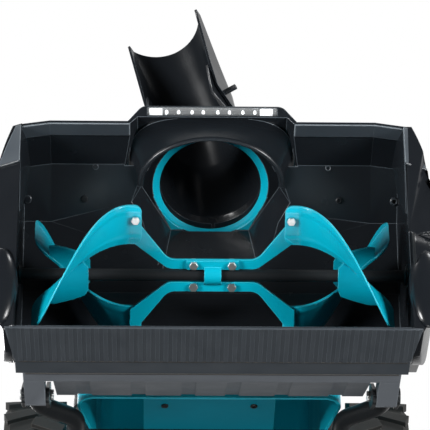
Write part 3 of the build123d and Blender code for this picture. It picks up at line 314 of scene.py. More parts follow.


# The edge colour, mixed in by the edge mask, is a painted highlight along edges and creases
def edgeHighlightColour(tree, recipe, blotch, edge, edgeHighlight):  # varied base, paler along the edges
    base = addMix(tree, blotch, hexColour(recipe["colour"]), hexColour(recipe["vary"]))
    highlightShare = addMath(tree, "MULTIPLY", edge, edgeHighlight)
    return addMix(tree, highlightShare, base, hexColour(recipe["edge"]))


def makeMoulded(name):
    recipe = finishSet[name]
    tree, shader, place = startMaterial(name)
    blotch = addNoise(tree, place, recipe["blotch"], mouldSet["blotchDetail"])
    grain = addNoise(tree, place, recipe["grain"], mouldSet["grainDetail"])
    normal, edge = edgeMask(tree, recipe["edgeRadius"], recipe.get("edgeFull", edgeSet["full"]))
    fillInputs(tree, shader, {
        "Base Color": edgeHighlightColour(tree, recipe, blotch, edge, mouldSet["edgeHighlight"]),
        "Roughness": addRange(tree, blotch, mouldSet["spread"], recipe["rough"]),
        "Normal": addBump(tree, grain, normal, recipe["relief"], mouldSet["depth"]),
        "Specular IOR Level": recipe.get("gloss", mouldSet["gloss"]),
    })


for finishName in finishSet:
    makeMoulded(finishName)


# Teal powder coat on pressed steel: faint orange peel, a painted highlight paler along the edges,
# beads pressed along the ribbon
coatSet = {
    "colour": "#00A5BD", "vary": "#009AB1", "edge": "#5CD0DE", "edgeRadius": 0.9, "edgeHighlight": 0.5,
    "peel": 3.0, "peelDetail": 2.0, "peelRelief": 0.08, "peelDepth": 0.4,
    "blotch": 50, "blotchDetail": 3.0,
    "rough": 0.32, "gloss": 0.35, "coat": 0.12, "coatRough": 0.12,
    "axis": (0, -506.84, 119.0),  # a point on the shaft's line
    "beads": (53.0, 90.0), "beadWidth": 6.0, "beadHeight": 1.0, "beadRelief": 0.8,
}


def makePowderCoat(name, beaded):
    tree, shader, place = startMaterial(name)
    peel = addNoise(tree, place, coatSet["peel"], coatSet["peelDetail"])
    blotch = addNoise(tree, place, coatSet["blotch"], coatSet["blotchDetail"])
    normal, edge = edgeMask(tree, coatSet["edgeRadius"])
    colour = edgeHighlightColour(tree, coatSet, blotch, edge, coatSet["edgeHighlight"])
    bump = addBump(tree, peel, normal, coatSet["peelRelief"], coatSet["peelDepth"])
    if beaded:  # distance from the shaft's line gives the bead's place
        centre = [v * mm for v in coatSet["axis"]]
        away = addVector(tree, "SUBTRACT", place, centre).outputs[0]
        across = addVector(tree, "MULTIPLY", away, (0, 1, 1)).outputs[0]
        radius = addVector(tree, "LENGTH", across).outputs["Value"]
        for bead in coatSet["beads"]:
            off = addMath(tree, "ABSOLUTE", addMath(tree, "SUBTRACT", radius, bead * mm))
            height = addRange(tree, off, (0, coatSet["beadWidth"] * mm), (1.0, 0.0),
                              interpolation_type="SMOOTHSTEP")
            bump = addBump(tree, height, bump, coatSet["beadRelief"], coatSet["beadHeight"])
    fillInputs(tree, shader, {
        "Base Color": colour,
        "Normal": bump,
        "Roughness": coatSet["rough"],
        "Specular IOR Level": coatSet["gloss"],
        "Coat Weight": coatSet["coat"],
        "Coat Roughness": coatSet["coatRough"],
    })


makePowderCoat("tealPowderCoat", False)
makePowderCoat("tealPressedSteel", True)


# Metals: zinc plate with its spangle, cast aluminium with a sand skin, ground steel
metalSet = {
    "zincPlate": {"colour": "#E4E6E5", "vary": "#CDD0D0", "grain": 3.0, "relief": 0.04,
                  "rough": (0.38, 0.5)},
    "castAluminium": {"colour": "#9EA1A3", "vary": "#8A8D8F", "grain": 1.2, "relief": 0.25,
                      "rough": (0.42, 0.58)},
    "groundSteel": {"colour": "#A8A9A8", "vary": "#8F9090", "grain": 2.0, "relief": 0.05,
                    "rough": (0.26, 0.38)},
}
skinSet = {"edgeRadius": 0.4, "detail": 4.0, "depth": 0.3}


def makeMetal(name):
    recipe = metalSet[name]
    tree, shader, place = startMaterial(name)
    grain = addNoise(tree, place, recipe["grain"], skinSet["detail"])
    normal, _ = edgeMask(tree, skinSet["edgeRadius"])
    fillInputs(tree, shader, {
        "Base Color": addMix(tree, grain, hexColour(recipe["colour"]), hexColour(recipe["vary"])),
        "Roughness": addRange(tree, grain, (0.0, 1.0), recipe["rough"]),
        "Normal": addBump(tree, grain, normal, recipe["relief"], skinSet["depth"]),
        "Metallic": 1.0,
    })


for metalName in metalSet:
    makeMetal(metalName)


# Clear polycarbonate of the work light, with fine flutes across it
lensSet = {"colour": "#F4F8FA", "flute": 3.0, "relief": 0.15, "depth": 0.4, "rough": 0.06,
           "ior": 1.585, "cover": 0.08}  # cover: a thin clear wall


def makeLens():
    tree, shader, place = startMaterial("clearPolycarbonate")
    waves = {"Vector": place, "Scale": perMetre(lensSet["flute"]) / 6.283}  # one turn to a flute
    flutes = addNode(tree, "ShaderNodeTexWave", waves)
    relief = {"Height": flutes.outputs["Fac"], "Strength": lensSet["relief"],
              "Distance": lensSet["depth"] * mm}
    fillInputs(tree, shader, {
        "Normal": addNode(tree, "ShaderNodeBump", relief).outputs[0],
        "Base Color": hexColour(lensSet["colour"]),
        "Roughness": lensSet["rough"],
        "IOR": lensSet["ior"],
        "Alpha": lensSet["cover"],
    })


makeLens()


# White lamp resin with a fine mottle, and a slight glow that is painted light on the lamps
lampSet = {"colour": "#FFFFFF", "vary": "#EEF4FA", "grain": 1.5, "detail": 2.0, "paintedGlow": 0.75,
           "rough": 0.3}


def makeLampResin():
    tree, shader, place = startMaterial("lampResin")
    mottle = addNoise(tree, place, lampSet["grain"], lampSet["detail"])
    colour = addMix(tree, mottle, hexColour(lampSet["colour"]), hexColour(lampSet["vary"]))
    fillInputs(tree, shader, {
        "Base Color": colour,
        "Emission Color": colour,
        "Emission Strength": lampSet["paintedGlow"],
        "Roughness": lampSet["rough"],
    })


makeLampResin()
print("finishes made:", len(finishes))


# Which finish each node takes
dressSet = {
    "mouldedAbs": "auger_housing switch_box battery_tub battery_lid",
    "polishedAbs": "left_side_cover drive_cover",
    "filledNylon": ("rim_left rim_right handle_sleeves fold_knob_left fold_knob_right "
                    "control_module battery_packs deflector_pins"),
    "polishedPolypropylene": "chute chute_deflector",
    "greyNylon": "scraper_plate clamp_strip",
    "grainedPolyethylene": "belly_plate",
    "tealAbs": "throat_ring rear_cowl",
    "paintedShadeTeal": "under_panel",
    "tealPowderCoat": "paddle_upper paddle_lower auger_hub",
    "tealPressedSteel": "flight_left_front flight_left_rear flight_right_front flight_right_rear",
    "blackPowderCoat": ("auger_shaft frame_tube_left frame_tube_right frame_brackets axle_brackets "
                        "cross_members lower_handle_left lower_handle_right upper_handle bail_lever "
                        "drive_plate"),
    "zincPlate": "auger_bolts axle_caps frame_pins lid_pin fold_pins wheel_axle",
    "groundSteel": "auger_bearings motor_rotor motor_stator",
    "castAluminium": "auger_pulley motor_pulley motor_housing",
    "treadRubber": "tyre_left tyre_right drive_belt",
    "gripRubber": "handle_grips",
    "clearPolycarbonate": "light_lens",
    "solderMask": "light_board",
    "redAbs": "lock_off_button",
    "greyAbs": "light_button",
}


def dressNodes():
    for finish, names in dressSet.items():
        for name in names.split():
            node = bpy.data.objects[name]
            node.data.materials.clear()
            node.data.materials.append(finishes[finish])


dressNodes()
print("nodes dressed")


bothSides = ((-1, "left"), (1, "right"))
facing = 0.9      # cosine within which a face looks one way
slack = 1 * mm    # how far a point may be off when edges are picked
hair = 0.1 * mm


# Selecting, cutting and finishing, as for any piece
def deselectAll():
    if bpy.context.object and bpy.context.object.mode != "OBJECT":
        bpy.ops.object.mode_set(mode="OBJECT")
    bpy.ops.object.select_all(action="DESELECT")


def selectOnly(piece):
    deselectAll()
    piece.select_set(True)
    bpy.context.view_layer.objects.active = piece


def pickIn(piece, kind, test):  # selects what passes the test, and stays in edit mode
    selectOnly(piece)
    bpy.ops.object.mode_set(mode="EDIT")
    bpy.ops.mesh.select_mode(type=kind)
    bpy.ops.mesh.select_all(action="DESELECT")
    bpy.ops.object.mode_set(mode="OBJECT")
    points = piece.data.vertices
    if kind == "FACE":
        for face in piece.data.polygons:
            face.select = test(face.center, face.normal)
    elif kind == "EDGE":
        for edge in piece.data.edges:
            edge.select = test(*(points[i].co for i in edge.vertices))
    else:
        for point in points:
            point.select = test(point.co)
    bpy.ops.object.mode_set(mode="EDIT")


def editAll(piece):  # selects the whole piece, and stays in edit mode
    selectOnly(piece)
    bpy.ops.object.mode_set(mode="EDIT")
    bpy.ops.mesh.select_all(action="SELECT")


def extrudePicked(offset):
    bpy.ops.mesh.extrude_region_move(TRANSFORM_OT_translate={"value": offset})


def narrowPicked(share):  # across the object
    bpy.ops.transform.resize(value=(share, 1, 1), center_override=(0, 0, 0))


def applyPlace(piece):
    selectOnly(piece)
    bpy.ops.object.transform_apply(location=True, rotation=True, scale=True)


def addBlock(low, high):  # a box between two corners
    middle = (Vector(low) + Vector(high)) / 2
    deselectAll()
    bpy.ops.mesh.primitive_cube_add(size=1, location=middle, scale=Vector(high) - Vector(low))
    piece = bpy.context.object
    applyPlace(piece)
    return piece


def addDisc(radius, height, sides=32):  # a cylinder standing on the origin
    deselectAll()
    middle = (0, 0, height / 2)
    bpy.ops.mesh.primitive_cylinder_add(radius=radius, depth=height, vertices=sides,
                                        location=middle)
    piece = bpy.context.object
    applyPlace(piece)
    return piece


def bevelPicked(width, segments=3):
    bpy.ops.mesh.bevel(offset=width, segments=segments, affect="EDGES")


def applyModifier(piece, kind, **settings):
    selectOnly(piece)
    modifier = piece.modifiers.new("work", kind)
    for name, value in settings.items():
        setattr(modifier, name, value)
    bpy.ops.object.modifier_apply(modifier="work")


def cutAway(piece, cutter):
    applyModifier(piece, "BOOLEAN", object=cutter, operation="DIFFERENCE", solver="EXACT")
    bpy.data.objects.remove(cutter)


def settle(piece, name, body, finish, angle=35):
    applyPlace(piece)
    bpy.ops.object.shade_smooth_by_angle(angle=math.radians(angle))
    piece.name = name
    piece.data.name = name
    piece.data.materials.clear()
    piece.data.materials.append(finishes[finish])
    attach(piece, body)


# Copies of a master, which goes; each place is a point and the way out of the surface there
def placeCopies(master, name, places, body, slot, finish, angle=35):
    for count, (point, outward) in enumerate(places):
        piece = master.copy()
        piece.data = master.data.copy()
        bpy.context.collection.objects.link(piece)
        turn = Vector((0, 0, 1)).rotation_difference(Vector(outward)).to_matrix().to_4x4()
        piece.matrix_world = Matrix.Translation(Vector(point)) @ turn
        settle(piece, f"{name}_{count + 1}", body, finish, angle)
    bpy.data.objects.remove(master)


def copyNode(name):  # a CAD node's copy, its loose triangles joined
    node = bpy.data.objects[name]
    piece = node.copy()
    piece.data = node.data.copy()
    piece.parent = None
    bpy.context.collection.objects.link(piece)
    editAll(piece)
    bpy.ops.mesh.remove_doubles(threshold=0.002 * mm)
    bpy.ops.object.mode_set(mode="OBJECT")
    return piece


def jointFrame(name):  # the joint's own axes: z along it, x across the object
    joint = next(j for j in frame["record"]["behaviour"]["joints"] if j["name"] == name)
    axis = Vector(joint["axis"])
    side = axis.cross((1, 0, 0)).normalized()
    turn = Matrix(((1, 0, 0), side, axis)).transposed().to_4x4()
    return Matrix.Translation(Vector(joint["pos_m"])) @ turn


throat = jointFrame("chute_turn")
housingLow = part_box("auger_housing")[0]
frontStart = 4  # millimetres back at which the housing's front lies in the sizes below


def depthAt(back):
    return housingLow.y + (back - frontStart) * mm


# Reshaping of copied nodes where the mould is softer than the plain solid
hoodSet = {"half": 100 * mm, "foot": 118 * mm, "front": 20 * mm, "back": 107 * mm,
           "low": 318 * mm, "high": 338 * mm}
lipSet = {"half": 79 * mm, "far": 54 * mm, "start": 17 * mm, "end": 69.8 * mm,
          "deep": (-3.5 * mm, -0.05 * mm)}
coverSet = {"sweep": 0.5, "front": 12 * mm, "lap": 253.6 * mm}
grooveSet = {"floor": (0.5 * mm, 2.0 * mm), "lift": -0.8 * mm}
neckSet = {"inside": 76 * mm, "back": 8 * mm}


def openChannel(piece):  # the hood's channel runs back at one width
    low = (-hoodSet["half"], housingLow.y - hoodSet["front"], hoodSet["low"])
    high = (hoodSet["half"], housingLow.y + hoodSet["back"], hoodSet["high"])
    cutter = addBlock(low, high)
    pickIn(cutter, "FACE", lambda c, n: n.z < -facing)
    narrowPicked(hoodSet["foot"] / hoodSet["half"])
    cutAway(piece, cutter)


def openHousing(piece):
    openChannel(piece)
    near, far = lipSet["deep"]  # the lip's rear corners open onto the ring
    half = lipSet["half"]
    cutter = addBlock((-half, lipSet["start"], near), (half, lipSet["end"], far))
    pickIn(cutter, "FACE", lambda c, n: n.y > facing)
    narrowPicked(lipSet["far"] / half)
    bpy.ops.object.mode_set(mode="OBJECT")
    cutter.matrix_world = throat
    cutAway(piece, cutter)


def sweepCover(piece):  # the front laps over the wall's edge and rounds back into the side
    inner = min(abs(p.co.x) for p in piece.data.vertices)
    front = min(p.co.y for p in piece.data.vertices) + coverSet["front"]
    for point in piece.data.vertices:
        if point.co.y < front:
            if abs(point.co.x) < inner + slack:
                point.co.x = math.copysign(coverSet["lap"], point.co.x)
            point.co.y += coverSet["sweep"] * (abs(point.co.x) - inner)


def wearGrooves(piece):  # shallower grooves
    low, high = grooveSet["floor"]
    pickIn(piece, "VERT", lambda p: low < p.z < high)
    bpy.ops.transform.translate(value=(0, 0, grooveSet["lift"]))
    bpy.ops.object.mode_set(mode="OBJECT")


def lowerNeck(piece):  # the ring's neck leans back
    inverse = throat.inverted()
    pickIn(piece, "VERT", lambda p: (inverse @ p).xy.length < neckSet["inside"])
    bpy.ops.transform.translate(value=throat.to_3x3() @ Vector((0, neckSet["back"], 0)))
    bpy.ops.object.mode_set(mode="OBJECT")


reshape = {"auger_housing": openHousing, "left_side_cover": sweepCover, "drive_cover": sweepCover,
           "scraper_plate": wearGrooves, "throat_ring": lowerNeck}


# Band along the rim's underside, the ABS painted paler as lit
bandSet = {"height": 327 * mm, "near": 8 * mm, "deep": 46 * mm, "thick": 1.4 * mm, "down": 0.8}


def makeRimBand():
    band = copyNode("auger_housing")
    back = housingLow.y + bandSet["deep"]

    def outside(centre, normal):
        level = abs(centre.z - bandSet["height"]) < bandSet["near"]
        return not (normal.z < -bandSet["down"] and level and centre.y < back)

    pickIn(band, "FACE", outside)
    bpy.ops.mesh.delete(type="FACE")
    applyModifier(band, "SOLIDIFY", thickness=bandSet["thick"], offset=1)
    openChannel(band)
    settle(band, "rim_band", "chassis", "paintedLitAbs")


makeRimBand()
print("rim band made")


# Round nodes are copied and shaded smooth
smoothSet = {
    "angle": 30,
    "flatAngle": 7.5,     # for the housing, whose creases are shallow
    "flatNodes": ("auger_housing",),
    "nodes": (
        "auger_housing left_side_cover drive_cover scraper_plate throat_ring chute chute_deflector "
        "deflector_pins flight_left_front flight_left_rear flight_right_front flight_right_rear "
        "paddle_upper paddle_lower auger_hub auger_shaft auger_bolts belly_plate frame_tube_left "
        "frame_tube_right frame_brackets frame_pins axle_brackets wheel_axle axle_caps rear_cowl "
        "battery_tub battery_lid lower_handle_left lower_handle_right upper_handle handle_sleeves "
        "handle_grips switch_box bail_lever fold_pins fold_knob_left fold_knob_right "
        "lock_off_button light_button motor_housing"),
}
bodies = frame["record"]["behaviour"]["bodies"]
bodyOf = {node: body for body, nodes in bodies.items() for node in nodes}
slotOf = {part["node"]: part["material_slot"] for part in frame["record"]["subparts"]}


def smoothCopy(name):
    piece = copyNode(name)
    piece.name = "smooth_" + name
    if name in reshape:
        reshape[name](piece)
        selectOnly(piece)
    angle = smoothSet["flatAngle"] if name in smoothSet["flatNodes"] else smoothSet["angle"]
    bpy.ops.object.shade_smooth_by_angle(angle=math.radians(angle))
    applyModifier(piece, "WEIGHTED_NORMAL", keep_sharp=True)  # flats stay flat beside rounded edges
    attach(piece, bodyOf[name])
    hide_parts(name)


for nodeName in smoothSet["nodes"].split():
    smoothCopy(nodeName)
print("smooth copies made")


# Work light: hollow clear lens, eight lamps and two light guides on the board
lightSet = {
    "wall": 1.0 * mm,
    "round": 3.0 * mm,
    "lamps": (-61, -45, -27, -12, 7.5, 23, 41, 57),  # across the bar, in millimetres
    "lampSize": (2.2 * mm, 2.7 * mm, 5.0 * mm),      # half width, half height, depth
    "guides": (-75.5, 72.5),
    "guideSize": (17 * mm, 6.6 * mm, 12 * mm),
    "raise": 1.8 * mm,
    "carrier": 7 * mm,                               # depth of the strip that carries the lamps
    "margin": 4 * mm,                                # of the strip past the last lamp
    "stripInset": (0.8 * mm, -0.4 * mm),             # width and rise of the border
    "guideInset": (1.2 * mm, 0.6 * mm),
    "guideRound": 1.5 * mm,
}


def makeLensShell():
    low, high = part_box("light_lens")
    lens = addBlock(low, high)
    pickIn(lens, "FACE", lambda c, n: n.y > facing)
    bpy.ops.mesh.delete(type="FACE")
    pickIn(lens, "EDGE", lambda a, b: min(a.y, b.y) < low.y + slack or abs(a.y - b.y) > slack)
    bevelPicked(lightSet["round"], 4)
    applyModifier(lens, "SOLIDIFY", thickness=lightSet["wall"], offset=-1)
    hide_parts("light_lens")
    settle(lens, "lens_shell", "chassis", "clearPolycarbonate")
    return (low.z + high.z) / 2 + lightSet["raise"]


def makeWorkLight():
    height = makeLensShell()
    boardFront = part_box("light_board")[0].y
    wide, tall, deep = lightSet["lampSize"]
    reach = max(lightSet["lamps"]) * mm + lightSet["margin"]
    front = boardFront - lightSet["carrier"]
    carrier = addBlock((-reach, front, height - tall), (reach, boardFront, height + tall))
    pickIn(carrier, "FACE", lambda c, n: n.y < -facing)
    border, rise = lightSet["stripInset"]
    bpy.ops.mesh.inset(thickness=border, depth=rise)
    settle(carrier, "lamp_carrier", "chassis", "solderMask")
    deselectAll()
    bpy.ops.mesh.primitive_uv_sphere_add(segments=20, ring_count=12, radius=1,
                                         scale=(wide, tall, deep))
    lamp = bpy.context.object
    applyPlace(lamp)
    editAll(lamp)
    bpy.ops.mesh.bisect(plane_co=(0, 0, 0), plane_no=(0, 0, 1), use_fill=True, clear_inner=True)
    lamps = [((x * mm, front, height), (0, -1, 0)) for x in lightSet["lamps"]]
    placeCopies(lamp, "lamp", lamps, "chassis", "board_white", "lampResin")
    long, tall, deep = lightSet["guideSize"]
    guide = addBlock((-long / 2, -tall / 2, 0), (long / 2, tall / 2, deep))
    pickIn(guide, "FACE", lambda c, n: n.z > facing)
    border, rise = lightSet["guideInset"]
    bpy.ops.mesh.inset(thickness=border, depth=rise)
    pickIn(guide, "EDGE", lambda a, b: abs(a.z - b.z) > slack)
    bevelPicked(lightSet["guideRound"])
    guides = [((x * mm, boardFront, height), (0, -1, 0)) for x in lightSet["guides"]]
    placeCopies(guide, "light_guide", guides, "chassis", "board_white", "lampResin")


makeWorkLight()
print("work light made")


# Smooth apron under the hood, falling from its front lip to a beaded rim round the throat
apronSet = {  # millimetres; each pair is back and up
    "rimHalf": 96, "rimBack": (112, 298), "rimFront": (45, 327.5), "rimThick": 4.0,
    "lipHalf": 112, "lipBack": (108, 322), "lipFront": (12, 338.3), "square": 0.6,
    "sag": 3.0, "thick": 2.5, "angle": 50, "overlap": 2.0,
}


def apronPoint(turn, share):  # turn goes round the rim from side to side, share from rim to lip
    across, ahead = math.cos(turn), math.sin(turn)
    boxed = math.copysign(abs(across) ** apronSet["square"], across)
    boxedAhead = ahead ** apronSet["square"]
    rim = [apronSet["rimHalf"] * across]
    lip = [apronSet["lipHalf"] * boxed]
    for rimBack, rimFront in zip(apronSet["rimBack"], apronSet["rimFront"]):
        rim.append(rimBack + (rimFront - rimBack) * ahead)
    for lipBack, lipFront in zip(apronSet["lipBack"], apronSet["lipFront"]):
        lip.append(lipBack + (lipFront - lipBack) * boxedAhead)
    point = Vector(rim).lerp(Vector(lip), share)
    point.z += apronSet["sag"] * math.sin(math.pi * share)
    return point * mm + Vector((0, depthAt(0), 0))


def makeApron():
    deselectAll()
    bpy.ops.mesh.primitive_grid_add(x_subdivisions=64, y_subdivisions=10, size=1)
    apron = bpy.context.object
    for point in apron.data.vertices:
        point.co = apronPoint(math.pi * (0.5 - point.co.x), 0.5 + point.co.y)
    editAll(apron)
    bpy.ops.mesh.remove_doubles(threshold=0.01 * mm)
    if sum(face.normal.z for face in apron.data.polygons) > 0:
        bpy.ops.mesh.flip_normals()
    applyModifier(apron, "SOLIDIFY", thickness=apronSet["thick"] * mm, offset=-1)
    settle(apron, "hood_apron", "chassis", "mouldedAbs", apronSet["angle"])


def makeBead():
    back, front = (Vector((0, *apronSet[k])) for k in ("rimBack", "rimFront"))
    deep = (front - back).length
    deselectAll()
    bpy.ops.mesh.primitive_torus_add(
        major_radius=apronSet["rimHalf"] * mm, minor_radius=apronSet["rimThick"] * mm,
        major_segments=120, minor_segments=14)
    rim = bpy.context.object
    editAll(rim)
    bpy.ops.mesh.bisect(plane_co=(0, apronSet["overlap"] * mm, 0), plane_no=(0, 1, 0),
                        use_fill=True, clear_outer=True)
    bpy.ops.mesh.select_all(action="SELECT")
    bpy.ops.transform.resize(value=(1, deep / apronSet["rimHalf"], 1), center_override=(0, 0, 0))
    bpy.ops.object.mode_set(mode="OBJECT")
    ahead = (back - front).normalized()
    turn = Matrix(((1, 0, 0), ahead, Vector((1, 0, 0)).cross(ahead))).transposed().to_4x4()
    rim.matrix_world = Matrix.Translation(back * mm + Vector((0, depthAt(0), 0))) @ turn
    settle(rim, "throat_bead", "chassis", "mouldedAbs")


makeApron()
makeBead()
print("hood apron made")


# Teal heel of the throat ring, filling the lip's rear corners
heelSet = {"bore": 79 * mm, "cut": 20 * mm, "sides": 128, "gap": 0.3 * mm, "thick": 2.4 * mm}


def makeHeel():
    gap = heelSet["gap"]
    low = lipSet["deep"][1] - gap
    heel = addBlock((-lipSet["half"] + gap, lipSet["start"] + gap, low - heelSet["thick"]),
                    (lipSet["half"] - gap, lipSet["end"] - gap, low))
    pickIn(heel, "FACE", lambda c, n: n.y > facing)
    narrowPicked(lipSet["far"] / lipSet["half"])
    bore = addDisc(heelSet["bore"], heelSet["cut"], heelSet["sides"])
    bore.location.z = -heelSet["cut"] / 2
    cutAway(heel, bore)
    heel.matrix_world = throat
    settle(heel, "ring_heel", "chassis", "tealAbs")


makeHeel()
print("ring heel made")


# Drafted liners in the upper corners of the intake, from the front edge to the back wall
linerSet = {
    "thick": 2.5 * mm,
    "edge": 0.8 * mm,
    "corners": (  # out, back and up, millimetres
        (255, 11, 326), (247.5, 40, 326), (245, 93, 314), (247, 50, 236), (252, 9, 184)),
}


def makeLiners():
    base = depthAt(0)
    for side, word in bothSides:
        deselectAll()
        corners = len(linerSet["corners"])
        bpy.ops.mesh.primitive_circle_add(vertices=corners, radius=1, fill_type="NGON")
        liner = bpy.context.object
        for point, (x, y, z) in zip(liner.data.vertices, linerSet["corners"]):
            point.co = (side * x * mm, base + y * mm, z * mm)
        bpy.ops.object.mode_set(mode="EDIT")
        bpy.ops.mesh.select_all(action="SELECT")
        if liner.data.polygons[0].normal.x * side > 0:
            bpy.ops.mesh.flip_normals()
        applyModifier(liner, "SOLIDIFY", thickness=linerSet["thick"], offset=-1)
        applyModifier(liner, "BEVEL", width=linerSet["edge"], segments=2)
        settle(liner, "intake_liner_" + word, "chassis", "mouldedAbs")


makeLiners()
print("intake liners made")


# Small fasteners and bosses of the intake
wallSet = {
    "outward": (0, -0.732, -0.682),          # out of the sloping back wall
    "screws": ((-172, 126.6), (174.5, 126.6)),  # across and back, millimetres
    "eyelets": ((-157, 96.5), (159, 96.5), (-236, 97), (236, 97)),
    "bosses": ((-249, 127), (249.5, 127)),
    "foot": (94.0, 319.0),                   # where the wall starts, back and up
    "fall": 58.0 / 54.0,
    "panelScrews": (-61, 61),                # across the under panel
    "panelBack": 17,
}
screwSet = {  # radius, height and socket radius, millimetres
    "wall": (4.6, 2.6, 2.0), "eyelet": (4.2, 1.2, 2.6), "boss": (6.0, 5.0, 2.2),
    "panel": (5.0, 2.0, 2.4), "knob": (11, 2.0, 6), "cowl": (5.5, 2.2, 2.6),
    "round": 0.35, "sink": 0.7,  # shares of the height
}


def onWall(x, y):
    z = wallSet["foot"][1] - (y - wallSet["foot"][0]) * wallSet["fall"]
    return (x * mm, depthAt(y), z * mm), wallSet["outward"]


def makeScrew(kind):  # a low head with a raised rim and a sunk socket
    radius, height, socket = (v * mm for v in screwSet[kind])
    edge = height * screwSet["round"]
    screw = addDisc(radius, height)
    pickIn(screw, "EDGE", lambda a, b: min(a.z, b.z) > height * 0.9)
    bevelPicked(edge)
    pickIn(screw, "FACE", lambda c, n: n.z > facing)
    bpy.ops.mesh.inset(thickness=radius - socket - edge)
    extrudePicked((0, 0, -height * screwSet["sink"]))
    return screw


def makeFasteners():
    screws, eyelets, bosses = ([onWall(*spot) for spot in wallSet[kind]]
                               for kind in ("screws", "eyelets", "bosses"))
    steel = ("chassis", "zinc_steel", "blackPowderCoat")
    plastic = ("chassis", "housing_plastic", "mouldedAbs")
    placeCopies(makeScrew("wall"), "wall_screw", screws, *steel)
    placeCopies(makeScrew("eyelet"), "wall_eyelet", eyelets, *plastic)
    placeCopies(makeScrew("boss"), "corner_boss", bosses, *plastic)
    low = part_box("under_panel")[0]
    back = low.y + wallSet["panelBack"] * mm
    spots = [((x * mm, back, low.z), (0, 0, -1)) for x in wallSet["panelScrews"]]
    placeCopies(makeScrew("panel"), "panel_screw", spots, *steel)


makeFasteners()
print("fasteners made")


# Where a line meets a node's smooth copy, and the way out of it there
def onSurface(node, start, direction):
    bpy.context.view_layer.update()
    target = bpy.data.objects["smooth_" + node]
    hit, point, normal, _ = target.ray_cast(Vector(start), Vector(direction))
    return (point, normal) if hit else None


# Handles: rings round the grips, caps on the fold knobs
gripSet = {"rings": 7, "thick": 1.4 * mm, "margin": 7 * mm, "gap": 0.5 * mm,
           "stretch": 1.6, "angle": 60}


def makeGripRings():
    low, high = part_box("handle_grips")
    centre = (low + high) / 2
    radius = (high.z - low.z) / 2
    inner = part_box("switch_box")[1].x + gripSet["gap"] + gripSet["margin"]
    outer = high.x - gripSet["margin"]
    deselectAll()
    bpy.ops.mesh.primitive_torus_add(major_radius=radius, minor_radius=gripSet["thick"],
                                     major_segments=40, minor_segments=8)
    ring = bpy.context.object
    editAll(ring)
    wider = (1, 1, gripSet["stretch"])  # along the bar
    bpy.ops.transform.resize(value=wider, center_override=(0, 0, 0))
    bpy.ops.object.mode_set(mode="OBJECT")
    step = (outer - inner) / (gripSet["rings"] - 1)
    places = [((side * (inner + i * step), centre.y, centre.z), (side, 0, 0))
              for side in (-1, 1) for i in range(gripSet["rings"])]
    slot = slotOf["handle_grips"]
    placeCopies(ring, "grip_ring", places, "handle", slot, "gripRubber", gripSet["angle"])


def makeKnobCaps():
    for side, word in bothSides:
        low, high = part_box("fold_knob_" + word)
        centre = (low + high) / 2
        spot = ((low.x if side < 0 else high.x, centre.y, centre.z), (side, 0, 0))
        placeCopies(makeScrew("knob"), "knob_cap_" + word, [spot], "knob_" + word,
                    "zinc_steel", "zincPlate")


makeGripRings()
makeKnobCaps()
print("grips and knobs dressed")


# Battery lid: grip bars across it and a latch at its free end
lidSet = {
    "bar": (170 * mm, 9 * mm, 2.0 * mm), "bars": (0.3, 0.5, 0.7),
    "barEnd": 0.45, "barEdge": 0.8 * mm,
    "latch": (52 * mm, 6 * mm, 17 * mm), "latchDrop": 3 * mm,
    "latchRim": 4 * mm, "latchEdge": 1.0 * mm, "pull": 4 * mm,
}


def makeLidDetails():
    low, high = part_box("battery_lid")
    slot = slotOf["battery_lid"]
    long, wide, tall = lidSet["bar"]
    bar = addBlock((-long / 2, -wide / 2, -slack), (long / 2, wide / 2, tall))
    pickIn(bar, "EDGE", lambda a, b: abs(a.z - b.z) > slack)
    bevelPicked(wide * lidSet["barEnd"], 5)
    pickIn(bar, "EDGE", lambda a, b: min(a.z, b.z) > tall * 0.9)
    bevelPicked(lidSet["barEdge"])
    deep = high.y - low.y
    places = [((0, low.y + share * deep, high.z), (0, 0, 1)) for share in lidSet["bars"]]
    placeCopies(bar, "lid_bar", places, "lid", slot, "mouldedAbs")
    long, deep, tall = lidSet["latch"]
    top = high.z - lidSet["latchDrop"]
    latch = addBlock((-long / 2, low.y - deep, top - tall), (long / 2, low.y + slack, top))
    pickIn(latch, "FACE", lambda c, n: n.y < -facing)
    bpy.ops.mesh.inset(thickness=lidSet["latchRim"])
    extrudePicked((0, lidSet["pull"], 0))
    pickIn(latch, "EDGE", lambda a, b: max(a.y, b.y) < low.y - deep + hair)
    bevelPicked(lidSet["latchEdge"])
    settle(latch, "lid_latch", "lid", "filledNylon")


makeLidDetails()
print("lid dressed")


# Clips that hold the chute's flange down on the throat
clipSet = {"count": 6, "start": 30, "wide": 16 * mm, "inner": 105 * mm, "outer": 111 * mm,
           "foot": 2 * mm, "top": 29 * mm, "tongue": 99 * mm, "under": 26 * mm, "edge": 1.0 * mm,
           "reach": 6 * mm}


def makeClips():
    half = clipSet["wide"] / 2
    under, inward = clipSet["under"], clipSet["tongue"] - clipSet["inner"]
    clip = addBlock((-half, clipSet["inner"], clipSet["foot"]), (half, clipSet["outer"], under))
    pickIn(clip, "FACE", lambda c, n: n.z > facing)
    extrudePicked((0, 0, clipSet["top"] - under))
    pickIn(clip, "FACE", lambda c, n: n.y < -facing and c.z > under)
    extrudePicked((0, inward, 0))
    pickIn(clip, "EDGE", lambda a, b: min(a.z, b.z) > clipSet["top"] - hair)
    bevelPicked(clipSet["edge"])
    pickIn(clip, "FACE", lambda c, n: n.z < -facing and c.z < under - slack)
    extrudePicked((0, 0, -clipSet["reach"]))
    bpy.ops.transform.translate(value=(0, inward, 0))  # the foot leans in to the throat's wall
    selectOnly(clip)
    for count in range(clipSet["count"]):
        piece = clip.copy()
        piece.data = clip.data.copy()
        bpy.context.collection.objects.link(piece)
        angle = math.radians(clipSet["start"] + 360 / clipSet["count"] * count)
        piece.matrix_world = throat @ Matrix.Rotation(angle, 4, "Z")
        settle(piece, f"chute_clip_{count + 1}", "chassis", "filledNylon")
    bpy.data.objects.remove(clip)


makeClips()
print("chute clips made")


